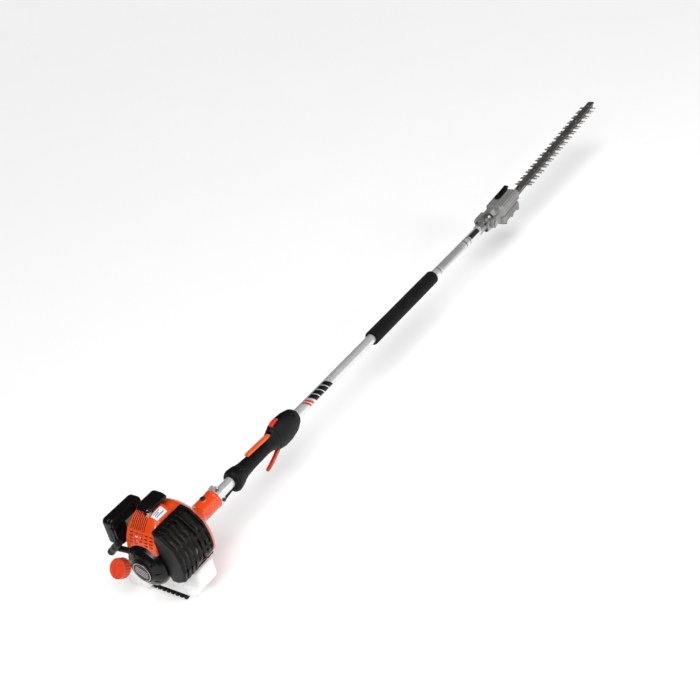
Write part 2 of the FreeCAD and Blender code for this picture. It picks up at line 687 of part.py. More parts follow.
def front_grip():
    sleeve = ring(GRIP_R, TUBE_R, on_axis(GRIP_REAR), on_axis(GRIP_FRONT))
    rims = [e for e in sleeve.Edges if isinstance(e.Curve, Part.Circle) and e.Curve.Radius > TUBE_R + 1]
    return sleeve.makeFillet(4, rims)


# ---- cutter head: fixed side ----
def pivot_housing():
    p = PIVOT_X
    collar = rod(15, on_axis(p - 53), on_axis(p - 25))
    flange = rounded(block(p - 26, p - 18, -20, 20, AXIS_Z - 15.5, AXIS_Z + 15.5), 4, X_DIR)
    cheeks = []
    for s in (-1, 1):
        y0, y1 = sorted((s * 16.8, s * 20))
        cheeks.append(block(p - 19, p, y0, y1, AXIS_Z - 15, AXIS_Z + 15))
        cheeks.append(rod(15, Vector(p, y0, AXIS_Z), Vector(p, y1, AXIS_Z)))
    holes = [rod(TUBE_R, on_axis(p - 60), on_axis(p - 31)),
             rod(SHAFT_R + RUN_FIT, on_axis(p - 40), on_axis(p - 10)),
             rod(PIVOT_PIN_R, Vector(p, -30, AXIS_Z), Vector(p, 30, AXIS_Z)),
             block(p - 55, p - 30, -1, 1, AXIS_Z, AXIS_Z + 30)]
    return carve(join([collar, flange] + cheeks), holes + [collar_bolts()])


def collar_bolts():
    p = PIVOT_X
    bolts = [hex_screw(Vector(p - 26.2, sy * 14.6, AXIS_Z + sz * 11), Vector(-1, 0, 0), 3.6, 5, 2.2, 6)
             for sy in (-1, 1) for sz in (-1, 1)]
    return Part.makeCompound(bolts)


def pivot_pin():
    p = PIVOT_X
    shank = rod(PIVOT_PIN_R, Vector(p, -31, AXIS_Z), Vector(p, 31, AXIS_Z))
    heads = [rod(8, Vector(p, s * 30.4, AXIS_Z), Vector(p, s * 34, AXIS_Z)) for s in (-1, 1)]
    return join([shank] + heads)


# ---- cutter head: moving side, in the head's own frame ----
def gear_case():
    main = rounded(block(62, 176, -CASE_HALF, CASE_HALF, -16.5, 18.3), 8, X_DIR)
    waist = rounded(block(20, 70, -22, 22, -16.4, 16), 8, X_DIR)
    nose = side_plate([(168, 20), (190, 20), (190, 2), (176, 4)], -40, 40)
    ribs = [rounded(block(66, 164, y - 1.6, y + 1.6, 14, 20.5), 1, X_DIR) for y in (-22, -13, -4)]
    ears = []
    for s in (-1, 1):
        y0, y1 = sorted((s * 20.4, s * 30))
        ears.append(rod(14, Vector(0, y0, 0), Vector(0, y1, 0)))
        ears.append(block(0, 30, y0, y1, -13, 13))
    shoulder = flat_plate([(122, 30), (140, 17), (180, 12), (180, 40), (122, 40)], -20, 25)
    solid = join([carve(main, [nose, shoulder]), waist] + ribs + ears)
    gear_room = rod(25.3, Vector(CRANK_X, 0, -13.5), Vector(CRANK_X, 0, 15.2))
    pinion_room = rod(14.6, Vector(80, 0, 0), Vector(CRANK_X, 0, 0))
    cutters = [gear_room, pinion_room,
               rod(SPINDLE_R + RUN_FIT, Vector(15, 0, 0), Vector(82, 0, 0)),
               rod(13.6, Vector(CRANK_X, 0, -20), Vector(CRANK_X, 0, -10)),
               rod(SPINDLE_R + RUN_FIT, Vector(CRANK_X, 0, 10), Vector(CRANK_X, 0, 17.2)),
               rod(PIVOT_PIN_R + RUN_FIT, Vector(0, -40, 0), Vector(0, 40, 0)),
               block(144, 200, -BLADE_BODY - 0.4, BLADE_BODY + 0.4, -20, -12.8),
               rod(18.3, Vector(15, 0, 0), Vector(25, 0, 0))]
    return carve(solid, cutters)


def case_screw_spots():
    return [(x, s * 23.5) for x in (74, 118, 160) for s in (-1, 1)]


def gear_case_cover():
    top = -16.8
    main = rounded(block(64, 168, -CASE_HALF, CASE_HALF, -40, top), 8, X_DIR)
    ribs = [block(70 + 12 * i, 73 + 12 * i, -22, 22, -46, -39) for i in range(8)]
    pocket = join([block(72.5, 170, -18.2, 18.2, -23.4, top + 1),
                   rod(14, Vector(CRANK_X, 0, -26.6), Vector(CRANK_X, 0, top + 1))])
    journal = rod(4 + RUN_FIT, Vector(CRANK_X, 0, -34), Vector(CRANK_X, 0, -20))
    return carve(join([main] + ribs), [pocket, journal, case_screws()])


def case_screws():
    screws = [hex_screw(Vector(x, y, -40.2), -Z_DIR, 4, 4, 2.2, 9) for x, y in case_screw_spots()]
    return Part.makeCompound(screws)


def adjusting_handle():
    outline = [(100, 20.8), (100, 24), (105, 29), (169, 29), (174, 24), (174, 20.8)]
    bar = side_plate(outline, 3, 15)
    pad = rounded(block(108, 164, 1, 17, 18.5, 26), 3, X_DIR)
    return join([bar, pad])


def guide_bar():
    z1 = BLADE_TOP + GAP + BAR_T
    z0 = BLADE_TOP + GAP
    outline = [(146, -BLADE_BODY), (BLADE_TIP - 6, -BLADE_BODY), (BLADE_TIP, -8), (BLADE_TIP, 8),
               (BLADE_TIP - 6, BLADE_BODY), (146, BLADE_BODY)]
    bar = flat_plate(outline, z0, z1)
    holes = [rod(2.6, Vector(x, 0, z0 - 1), Vector(x, 0, z1 + 1)) for x in BAR_BOLTS]
    return carve(bar, holes)


def bar_bolts():
    z1 = BLADE_TOP + GAP + BAR_T
    low = BLADE_TOP - 2 * BLADE_T - 2 * GAP
    bolts = []
    for x in BAR_BOLTS:
        shank = rod(2.5, Vector(x, 0, low - 2.5), Vector(x, 0, z1 + 1))
        head = rod(5.5, Vector(x, 0, z1 + 0.05), Vector(x, 0, z1 + 3.5))
        washer = rod(6.5, Vector(x, 0, low - 3), Vector(x, 0, low))
        bolts.append(join([shank, head, washer]))
    return Part.makeCompound(bolts)


def blade_outline(first, count):
    """Right-hand edge of a blade with its teeth; the left edge mirrors it."""
    edge = [(FIRST_TOOTH - 26, BLADE_BODY)]
    for k in range(count):
        x = first + TOOTH_PITCH * k
        edge += [(x - TOOTH_FOOT, BLADE_BODY), (x - TOOTH_CREST, TOOTH_REACH), (x + TOOTH_CREST, TOOTH_REACH),
                 (x + TOOTH_FOOT, BLADE_BODY)]
    edge += [(BLADE_TIP - 15, BLADE_BODY), (BLADE_TIP - 11, 8)]
    return edge


def blade(first, count, top):
    edge = blade_outline(first, count)
    neck = [(CRANK_X + 20, BLADE_BODY)]
    outline = neck + edge + [(x, -y) for x, y in reversed(neck + edge)]
    plate = flat_plate(outline, top - BLADE_T, top)
    ring_plate = slot_cutter(CRANK_X, 0, 27.2, 17.6, top - BLADE_T, top)
    window = slot_cutter(CRANK_X, 0, 22.8, 13.2, top - BLADE_T - 1, top + 1)
    slots = [slot_cutter(x, 0, THROW + 3.2, 3, top - BLADE_T - 1, top + 1) for x in BAR_BOLTS]
    return carve(join([plate, ring_plate]), [window] + slots)


def upper_blade():
    return blade(FIRST_TOOTH, 15, BLADE_TOP)


def lower_blade():
    return blade(FIRST_TOOTH + TOOTH_PITCH / 2, 14, BLADE_TOP - BLADE_T - GAP)


# ---- gears ----
def input_pinion():
    """Bevel pinion on the end of the drive shaft, in the row frame."""
    apex = Vector(PIVOT_X, 0, AXIS_Z)
    return bevel_gear(SMALL_TEETH, SMALL_TEETH, PIVOT_CONE, apex, -X_DIR, -Y_DIR, False, SHAFT_R)


def pivot_gear():
    apex = Vector(PIVOT_X, 0, AXIS_Z)
    return bevel_gear(SMALL_TEETH, SMALL_TEETH, PIVOT_CONE, apex, -Y_DIR, -X_DIR, True, PIVOT_PIN_R + RUN_FIT)


def output_shaft():
    """Shaft from the pivot gear to the blade drive, with a bevel pinion at each end."""
    bore = SPINDLE_R - 0.5
    apex = Vector(CRANK_X, 0, 0)
    rear = bevel_gear(SMALL_TEETH, SMALL_TEETH, PIVOT_CONE, X_DIR * REAR_APEX, X_DIR, -Y_DIR, False, bore)
    front = bevel_gear(SMALL_TEETH, LARGE_TEETH, DRIVE_CONE, apex, -X_DIR, Z_DIR, False, bore)
    rear_face = REAR_APEX + (PIVOT_CONE - GEAR_FACE) * math.cos(math.radians(45))
    spindle = rod(SPINDLE_R, Vector(rear_face + 1, 0, 0), Vector(CRANK_X - 20, 0, 0))
    return join([spindle, rear, front])


def crank_gear():
    """Large bevel gear, its shaft and the two opposed crank pins that drive the blades."""
    apex = Vector(CRANK_X, 0, 0)
    gear = bevel_gear(LARGE_TEETH, SMALL_TEETH, DRIVE_CONE, apex, Z_DIR, -X_DIR, True, 3)
    upper_z0 = BLADE_TOP + GAP
    lower_z1 = BLADE_TOP - 2 * BLADE_T - 2 * GAP
    upper_pin = apex + Y_DIR * THROW
    lower_pin = apex - Y_DIR * THROW
    parts = [gear,
             rod(SPINDLE_R, apex + Z_DIR * -14, apex + Z_DIR * 17),
             rod(4, apex + Z_DIR * -33, apex + Z_DIR * -13),
             rod(13, apex + Z_DIR * upper_z0, apex + Z_DIR * -14),
             rod(3, upper_pin + Z_DIR * (BLADE_TOP - BLADE_T), upper_pin + Z_DIR * -16),
             rod(13, apex + Z_DIR * (lower_z1 - 2.8), apex + Z_DIR * lower_z1),
             rod(3, lower_pin + Z_DIR * (lower_z1 - 1), lower_pin + Z_DIR * (lower_z1 + BLADE_T))]
    return join(parts)


ENGINE_PIECES = [crankcase_front, crankcase_rear, cylinder, crank_bearings, crankshaft, flywheel, clutch_shoes,
                 clutch_drum, piston, piston_pin, connecting_rod, spark_plug, ignition_coil]
COVER_PIECES = [cylinder_cover, plug_cover, fan_housing, starter_housing, starter_pulley, starter_grip, muffler,
                muffler_guard, carburetor, choke_lever, primer_bulb, air_filter_base, air_filter_element,
                air_filter_cover, fuel_tank, fuel_cap, tank_stand]
POLE_PIECES = [clamp_ring, clamp_screws, outer_tube, shaft_bushings, drive_shaft, handle_left, handle_right,
               handle_screws, trigger_pin, throttle_trigger, throttle_lockout, stop_switch, throttle_cable,
               front_grip, pivot_housing, collar_bolts, pivot_pin, input_pinion, pivot_gear]
HEAD_PIECES = [gear_case, gear_case_cover, case_screws, adjusting_handle, guide_bar, bar_bolts, output_shaft,
               crank_gear, upper_blade, lower_blade]

os.makedirs("parts", exist_ok=True)
for make in ENGINE_PIECES + COVER_PIECES + POLE_PIECES:
    make().exportStep("parts/" + make.__name__ + ".step")
for make in HEAD_PIECES:
    in_head(make()).exportStep("parts/" + make.__name__ + ".step")
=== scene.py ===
import math
import bpy
import numpy as np
from mathutils import Euler, Matrix, Vector


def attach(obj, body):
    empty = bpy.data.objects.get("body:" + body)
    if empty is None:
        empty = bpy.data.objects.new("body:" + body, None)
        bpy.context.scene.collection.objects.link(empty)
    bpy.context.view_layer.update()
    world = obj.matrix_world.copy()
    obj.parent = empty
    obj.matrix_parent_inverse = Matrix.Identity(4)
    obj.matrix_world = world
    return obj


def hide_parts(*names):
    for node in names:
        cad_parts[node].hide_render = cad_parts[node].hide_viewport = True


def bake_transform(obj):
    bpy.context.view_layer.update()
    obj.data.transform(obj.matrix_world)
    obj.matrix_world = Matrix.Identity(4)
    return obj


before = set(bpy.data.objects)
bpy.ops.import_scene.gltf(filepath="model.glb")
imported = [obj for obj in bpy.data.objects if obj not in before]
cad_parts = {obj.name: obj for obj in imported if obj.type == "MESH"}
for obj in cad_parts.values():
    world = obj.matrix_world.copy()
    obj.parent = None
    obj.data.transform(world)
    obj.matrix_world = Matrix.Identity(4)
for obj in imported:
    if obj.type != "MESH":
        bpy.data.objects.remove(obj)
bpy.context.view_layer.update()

# Petrol pole hedge trimmer. Fields and outlines are in millimetres in the machine's frame, or in the
# cutter head's own frame where HEAD is passed; meshes and materials are in metres.
MM = 0.001
AXIS_Z = 125.0                      # height of the pole's and crankshaft's common axis
TUBE_RADIUS = 12.5
WALL = 2.4                          # of the moulded covers
STARTER_RIM = 48.0                  # radius of the starter housing
BADGE_Y = -1.2
PLUG_X = -45.0                      # spark plug, upright in the middle of the cylinder head
HOUSING_FLAT = 70.0                 # from the axis to the flat across the fan housing's corner
HOUSING_FLOOR = 58.0                # height at which the fan housing ends above the tank
NECK_SCREW_X = 89.0
LOCKOUT_X, LOCKOUT_Z = 318.0, 142.5
TRIGGER_X, TRIGGER_Z = 352.0, 100.0
GRIP_START, GRIP_END = 755.0, 1077.0
GRIP_BORE, GRIP_RADIUS = 12.52, 18.78
PIVOT_X = 1409.0                    # where the cutter head turns on the pole
HEAD_TILT = math.radians(4)
HEAD = Matrix.Translation((PIVOT_X * MM, 0, AXIS_Z * MM)) @ Matrix.Rotation(-HEAD_TILT, 4, "Y")
PIVOT_GAP = 20.3                    # half the space between the head's ears
CRANK_X = 110.0                     # of the crank gear that drives both blades, in the head's frame

# ---- camera ----
cam = bpy.data.objects.new("camera", bpy.data.cameras.new("camera"))
bpy.context.collection.objects.link(cam)
cam.data.lens = 53.195
cam.data.sensor_width = 36.0
cam.data.clip_end = 50.0
CAMERA_PLACE = Vector((-1.00941, -1.32453, 1.42851))
CAMERA_TURN = Euler([math.radians(a) for a in (58.4929, 10.3463, -57.9045)])
cam.matrix_world = Matrix.LocRotScale(CAMERA_PLACE, CAMERA_TURN, None)
bpy.context.scene.camera = cam
bpy.context.scene.view_settings.view_transform = "Standard"


# ---- distance fields ----
def smin(a, b, k):
    """Union of two fields, blended over k."""
    h = np.clip(0.5 + 0.5 * (b - a) / k, 0, 1)
    return b * (1 - h) + a * h - k * h * (1 - h)


def smax(a, b, k):
    """Intersection of two fields, blended over k."""
    return -smin(-a, -b, k)


def cut(a, b, k=0.8):
    """Field a with b taken out."""
    return smax(a, -b, k)


def slab(t, low, high):
    """Distance outside the layer between low and high."""
    return abs(t - (low + high) / 2) - (high - low) / 2


def box(x, y, z, x0, x1, y0, y1, z0, z1, r=1.0):
    """Box between its faces, with edges rounded to r."""
    qx = slab(x, x0, x1) + r
    qy = slab(y, y0, y1) + r
    qz = slab(z, z0, z1) + r
    outside = np.sqrt(np.maximum(qx, 0) ** 2 + np.maximum(qy, 0) ** 2 + np.maximum(qz, 0) ** 2)
    return outside + np.minimum(np.maximum(np.maximum(qx, qy), qz), 0) - r


def rod(x, y, z, start, end, radius, r=0.6):
    """Cylinder between two points, with rims rounded to r."""
    a = np.array(start, dtype=float)
    d = np.array(end, dtype=float) - a
    length = np.linalg.norm(d)
    d /= length
    u, v, w = x - a[0], y - a[1], z - a[2]
    along = u * d[0] + v * d[1] + w * d[2]
    radial = np.sqrt(np.maximum(u * u + v * v + w * w - along * along, 0))
    q = radial - radius + r
    e = slab(along, 0, length) + r
    return np.sqrt(np.maximum(q, 0) ** 2 + np.maximum(e, 0) ** 2) + np.minimum(np.maximum(q, e), 0) - r


def poly(u, v, points):
    """Signed distance to a closed outline."""
    best = None
    sign = 1.0
    for (au, av), (bu, bv) in zip(points, points[1:] + points[:1]):
        eu, ev = bu - au, bv - av
        wu, wv = u - au, v - av
        t = np.clip((wu * eu + wv * ev) / (eu * eu + ev * ev), 0, 1)
        near_sq = (wu - eu * t) ** 2 + (wv - ev * t) ** 2
        best = near_sq if best is None else np.minimum(best, near_sq)
        above, below, left = v >= av, v < bv, eu * wv > ev * wu
        toggles = (above & below & left) | (~above & ~below & ~left)
        sign = np.where(toggles, -sign, sign)
    return sign * np.sqrt(best)


def nearest(t, first, pitch, count):
    """Offset of t from the closest of a row of evenly spaced places."""
    return t - first - pitch * np.clip(np.round((t - first) / pitch), 0, count - 1)


class Profile:
    """Smooth radius along an axis, through points and then relaxed."""

    def __init__(self, points, passes=60):
        p = np.array(points, dtype=float)
        self.t = np.linspace(p[0, 0], p[-1, 0], 500)
        self.r = np.interp(self.t, p[:, 0], p[:, 1])
        for _ in range(passes):
            self.r[1:-1] = 0.25 * (self.r[:-2] + self.r[2:]) + 0.5 * self.r[1:-1]
        slope = np.gradient(self.r, self.t)
        self.lean = 1 / np.sqrt(1 + slope ** 2)

    def value(self, t):
        return np.interp(t, self.t, self.r)

    def field(self, t, radius, grow=0.0):
        return (radius - self.value(t) - grow) * np.interp(t, self.t, self.lean)


def from_axis(y, z):
    """Distance from the pole's axis."""
    return np.sqrt(y * y + (z - AXIS_Z) ** 2)


CORNERS = [(i, j, k) for i in (0, 1) for j in (0, 1) for k in (0, 1)]
EDGES = [(a, b) for a in range(8) for b in range(a + 1, 8)
         if sum(abs(p - q) for p, q in zip(CORNERS[a], CORNERS[b])) == 1]


def skin(name, field, low, high, step, body, material, stands_for=(), place=None):
    """Closed mesh of the surface where a distance field is zero, with the field's own normals."""
    steps = np.array(step if isinstance(step, tuple) else (step,) * 3, dtype=float)
    origin = np.array(low, dtype=float) - 2 * steps
    sizes = np.ceil((np.array(high) - origin) / steps).astype(int) + 3
    axes = [origin[i] + steps[i] * np.arange(sizes[i]) for i in range(3)]
    gx, gy, gz = np.meshgrid(*axes, indexing="ij", sparse=True)
    d = np.broadcast_to(field(gx, gy, gz), sizes)
    inside = d < 0
    n = sizes - 1
    filled = sum(inside[i:i + n[0], j:j + n[1], k:k + n[2]].astype(np.uint8) for i, j, k in CORNERS)
    cells = np.argwhere((filled > 0) & (filled < 8))
    value = [d[cells[:, 0] + i, cells[:, 1] + j, cells[:, 2] + k] for i, j, k in CORNERS]
    total = np.zeros((len(cells), 3))
    hits = np.zeros(len(cells))
    for a, b in EDGES:
        cross = (value[a] < 0) != (value[b] < 0)
        va, vb = value[a][cross], value[b][cross]
        t = (va / (va - vb))[:, None]
        pa, pb = np.array(CORNERS[a]), np.array(CORNERS[b])
        total[cross] += pa + t * (pb - pa)
        hits[cross] += 1
    points = origin + (cells + total / hits[:, None]) * steps
    index = np.full(n, -1, dtype=np.int32)
    index[tuple(cells.T)] = np.arange(len(cells))
    quads = []
    for axis in range(3):
        u, v = (axis + 1) % 3, (axis + 2) % 3
        fore = [slice(1, n[i]) for i in range(3)]
        fore[axis] = slice(0, n[axis])
        back = list(fore)
        back[axis] = slice(1, n[axis] + 1)
        p = np.argwhere(inside[tuple(fore)] != inside[tuple(back)])
        p += np.array([s.start for s in fore])
        solid_first = inside[tuple(p.T)]
        du = np.eye(3, dtype=int)[u]
        dv = np.eye(3, dtype=int)[v]
        quad = np.stack([index[tuple(q.T)] for q in (p - du - dv, p - dv, p, p - du)], axis=1)
        quad[~solid_first] = quad[~solid_first][:, ::-1]
        quads.append(quad)
    quads = np.concatenate(quads)

    def slope(q):
        e = 0.25 * steps.min()
        sides = [(field(*(q + e * m).T), field(*(q - e * m).T)) for m in np.eye(3)]
        return np.stack([(ahead - behind) / (2 * e) for ahead, behind in sides], axis=1)

    for _ in range(2):
        g = slope(points)
        value_here = field(*points.T)
        move = value_here[:, None] * g / np.maximum((g * g).sum(1), 0.3)[:, None]
        limit = 0.45 * steps.min()
        size = np.linalg.norm(move, axis=1, keepdims=True)
        points = points - move * np.minimum(1, limit / np.maximum(size, 1e-9))
    g = slope(points)
    g /= np.maximum(np.linalg.norm(g, axis=1, keepdims=True), 1e-6)
    points = points * MM
    if place is not None:
        m = np.array(place)
        points = points @ m[:3, :3].T + m[:3, 3]
        g = g @ m[:3, :3].T
    mesh = bpy.data.meshes.new(name)
    mesh.from_pydata(points.tolist(), [], quads.tolist())
    mesh.polygons.foreach_set("use_smooth", [True] * len(mesh.polygons))
    mesh.normals_split_custom_set_from_vertices(g.tolist())
    return place_piece(name, mesh, body, material, stands_for)


def place_piece(name, data, body, material, stands_for=()):
    """Object from a mesh or curve, riding on a body and standing for the CAD nodes it hides."""
    piece = bpy.data.objects.new(name, data)
    bpy.context.collection.objects.link(piece)
    data.materials.append(material)
    if body is not None:
        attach(piece, body)
    if stands_for:
        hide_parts(*stands_for)
    return piece


# ---- finishes ----
class Graph:
    """Small helper for building a material's nodes."""

    def __init__(self, name):
        self.mat = bpy.data.materials.new(name)
        self.mat.use_nodes = True
        self.nodes = self.mat.node_tree.nodes
        self.links = self.mat.node_tree.links
        self.shader = self.nodes["Principled BSDF"]
        self.place = self.add("ShaderNodeTexCoord").outputs["Object"]
        split = self.add("ShaderNodeSeparateXYZ")
        self.links.new(self.place, split.inputs[0])
        self.x, self.y, self.z = split.outputs

    def add(self, kind, **settings):
        node = self.nodes.new(kind)
        for key, value in settings.items():
            setattr(node, key, value)
        return node

    def feed(self, value, socket):
        if isinstance(value, bpy.types.NodeSocket):
            self.links.new(value, socket)
        else:
            socket.default_value = value

    def maths(self, operation, a, b=0.0, c=0.0):
        node = self.add("ShaderNodeMath", operation=operation)
        for value, socket in zip((a, b, c), node.inputs):
            self.feed(value, socket)
        return node.outputs[0]

    def noise(self, scale, detail=4.0, rough=0.55, stretch=None):
        node = self.add("ShaderNodeTexNoise")
        node.inputs["Scale"].default_value = scale
        node.inputs["Detail"].default_value = detail
        node.inputs["Roughness"].default_value = rough
        source = self.place
        if stretch:
            mapping = self.add("ShaderNodeMapping")
            mapping.inputs["Scale"].default_value = stretch
            self.links.new(self.place, mapping.inputs[0])
            source = mapping.outputs[0]
        self.links.new(source, node.inputs["Vector"])
        return node.outputs["Fac"]

    def cells(self, scale):
        node = self.add("ShaderNodeTexVoronoi")
        node.inputs["Scale"].default_value = scale
        self.links.new(self.place, node.inputs["Vector"])
        return node.outputs["Distance"]

    def ramp(self, value, low, high, out_low=0.0, out_high=1.0):
        node = self.add("ShaderNodeMapRange")
        for key, number in zip(("From Min", "From Max", "To Min", "To Max"), (low, high, out_low, out_high)):
            node.inputs[key].default_value = number
        self.links.new(value, node.inputs["Value"])
        return node.outputs[0]

    def mix(self, factor, a, b):
        node = self.add("ShaderNodeMix", data_type="RGBA")
        sockets = [s for s in node.inputs if s.name in ("A", "B") and s.type == "RGBA"]
        self.feed(factor, node.inputs[0])
        for value, socket in zip((a, b), sockets):
            self.feed(value if isinstance(value, bpy.types.NodeSocket) else tuple(value) + (1.0,), socket)
        return [s for s in node.outputs if s.type == "RGBA"][0]

    def within(self, value, low, high):
        above = self.maths("GREATER_THAN", value, low)
        return self.maths("MULTIPLY", above, self.maths("LESS_THAN", value, high))

    def all_of(self, *masks):
        result = masks[0]
        for mask in masks[1:]:
            result = self.maths("MULTIPLY", result, mask)
        return result

    def edges(self):
        """Mask of convex edges, where a finish rubs through first."""
        return self.ramp(self.add("ShaderNodeNewGeometry").outputs["Pointiness"], 0.51, 0.56)

    def bump(self, height, strength, distance):
        node = self.add("ShaderNodeBump")
        node.inputs["Strength"].default_value = strength
        node.inputs["Distance"].default_value = distance
        self.links.new(height, node.inputs["Height"])
        if self.shader.inputs["Normal"].is_linked:
            self.links.new(self.shader.inputs["Normal"].links[0].from_socket, node.inputs["Normal"])
        self.links.new(node.outputs[0], self.shader.inputs["Normal"])

    def sockets(self, **values):
        for key, value in values.items():
            self.shader.inputs[key.replace("_", " ")].default_value = value


def shade(colour, factor):
    """A colour made darker or lighter."""
    return tuple(min(1.0, c * factor) for c in colour)


def finish_graph(name, colour, rough, vary=0.12, grain=700.0, depth=0.15, wear=0.0, worn=None, blotch=14.0,
                 **values):
    """Mottled colour, uneven gloss, a fine grain and, where asked, rubbed edges.

    rough is the lowest and highest roughness, vary the colour's unevenness, grain and depth the fine
    bump's scale and strength, wear and worn the rubbed edges' amount and colour.
    """
    g = Graph(name)
    mottle = g.noise(blotch, 5.0, 0.6)
    base = g.mix(g.ramp(mottle, 0.3, 0.7), shade(colour, 1 - vary), shade(colour, 1 + vary))
    if wear:
        rub = g.maths("MULTIPLY", g.edges(), g.ramp(g.noise(160.0), 0.42, 0.62, 0.0, wear))
        base = g.mix(rub, base, worn or shade(colour, 2.2))
    g.base = base
    g.links.new(base, g.shader.inputs["Base Color"])
    gloss = g.ramp(g.noise(blotch * 6, 6.0), 0.25, 0.75, rough[0], rough[1])
    g.links.new(gloss, g.shader.inputs["Roughness"])
    g.bump(g.noise(grain, 3.0), depth, 0.0004)
    g.sockets(**values)
    return g


def finish(*looks, **values):
    return finish_graph(*looks, **values).mat


def paint(g, mask, colour, rough=None):
    """Cover part of a finish with another colour."""
    g.base = g.mix(mask, g.base, colour)
    g.links.new(g.base, g.shader.inputs["Base Color"])
    if rough is not None:
        old = g.shader.inputs["Roughness"].links[0].from_socket
        keep = g.maths("MULTIPLY", old, g.maths("SUBTRACT", 1.0, mask))
        g.links.new(g.maths("MULTIPLY_ADD", mask, rough, keep), g.shader.inputs["Roughness"])


ORANGE = (0.8, 0.072, 0.009)
BLACK = (0.0045, 0.0045, 0.005)

orange_cap = finish("orange_cap", (0.8, 0.06, 0.012), (0.34, 0.5), vary=0.08, grain=800.0, depth=0.12,
                    wear=0.4, worn=(0.9, 0.2, 0.1))
orange_lever = finish("orange_lever", (0.86, 0.13, 0.03), (0.3, 0.45), vary=0.06, grain=800.0, depth=0.1,
                      wear=0.3, worn=(0.9, 0.3, 0.15))
red_trigger = finish("red_trigger", (0.72, 0.05, 0.012), (0.28, 0.42), vary=0.06, grain=800.0, depth=0.1,
                     wear=0.4, worn=(0.85, 0.2, 0.1))
red_switch = finish("red_switch", (0.8, 0.03, 0.012), (0.3, 0.42), vary=0.06, grain=800.0, depth=0.1,
                    wear=0.4, worn=(0.9, 0.2, 0.12))
black = finish("black_moulded", BLACK, (0.3, 0.46), vary=0.3, grain=1500.0, depth=0.22, wear=0.5,
               worn=(0.03, 0.03, 0.032), Specular_IOR_Level=0.16)
black_gloss = finish("black_gloss", BLACK, (0.14, 0.26), vary=0.3, grain=900.0, depth=0.05, wear=0.4,
                     worn=(0.02, 0.02, 0.022), Specular_IOR_Level=0.25)
black_heat = finish("black_heat_guard", (0.004, 0.0038, 0.0036), (0.3, 0.46), vary=0.35, grain=1300.0,
                    depth=0.2, wear=0.5, worn=(0.05, 0.047, 0.044), Specular_IOR_Level=0.15)
rubber = finish("rubber_overmould", (0.0045, 0.0045, 0.0047), (0.4, 0.6), vary=0.3, grain=2200.0,
                depth=0.35, Specular_IOR_Level=0.16)
black_bolt = finish("black_fastener", (0.02, 0.02, 0.021), (0.3, 0.5), vary=0.3, grain=1500.0,
                    depth=0.15, wear=0.8, worn=(0.3, 0.3, 0.3), Metallic=0.6)
zinc = finish("zinc_fastener", (0.46, 0.46, 0.45), (0.25, 0.45), vary=0.12, grain=900.0, depth=0.12,
              Metallic=1.0)
cast = finish("cast_head", (0.27, 0.267, 0.262), (0.36, 0.52), vary=0.14, grain=620.0, depth=0.3,
              wear=0.8, worn=(0.55, 0.55, 0.54), Metallic=0.25)
cast_bright = finish("cast_alloy", (0.42, 0.42, 0.41), (0.32, 0.5), vary=0.12, grain=620.0, depth=0.3,
                     wear=0.6, worn=(0.7, 0.7, 0.69), Metallic=0.75)
core = finish("core_casting", (0.33, 0.33, 0.32), (0.4, 0.6), vary=0.18, grain=500.0, depth=0.4,
              Metallic=0.8)
steel = finish("machined_steel", (0.42, 0.41, 0.4), (0.22, 0.4), vary=0.1, grain=1200.0, depth=0.1,
               Metallic=1.0)
dark_steel = finish("bar_steel", (0.13, 0.122, 0.115), (0.3, 0.48), vary=0.3, grain=700.0, depth=0.12,
                    wear=0.9, worn=(0.36, 0.35, 0.34), Metallic=0.6)
exhaust = finish("muffler_steel", (0.14, 0.12, 0.1), (0.45, 0.65), vary=0.35, grain=500.0, depth=0.3,
                 Metallic=0.8, blotch=30.0)
ceramic = finish("plug_ceramic", (0.78, 0.76, 0.72), (0.12, 0.22), vary=0.04, grain=400.0, depth=0.05)
filter_foam = finish("filter_foam", (0.03, 0.032, 0.03), (0.8, 0.95), vary=0.3, grain=900.0, depth=0.8)
bushing = finish("bushing_rubber", (0.02, 0.02, 0.02), (0.5, 0.7), vary=0.2, grain=900.0, depth=0.2)
bulb = finish("bulb_rubber", (0.5, 0.42, 0.3), (0.25, 0.35), vary=0.06, grain=500.0, depth=0.06,
              Subsurface_Weight=0.3)
fuel_rubber = finish("fuel_rubber", (0.22, 0.03, 0.02), (0.25, 0.4), vary=0.15, grain=900.0, depth=0.08,
                     Specular_IOR_Level=0.5)
copper = finish("copper_winding", (0.35, 0.1, 0.03), (0.3, 0.45), vary=0.2, grain=900.0, depth=0.3,
                Metallic=0.8)


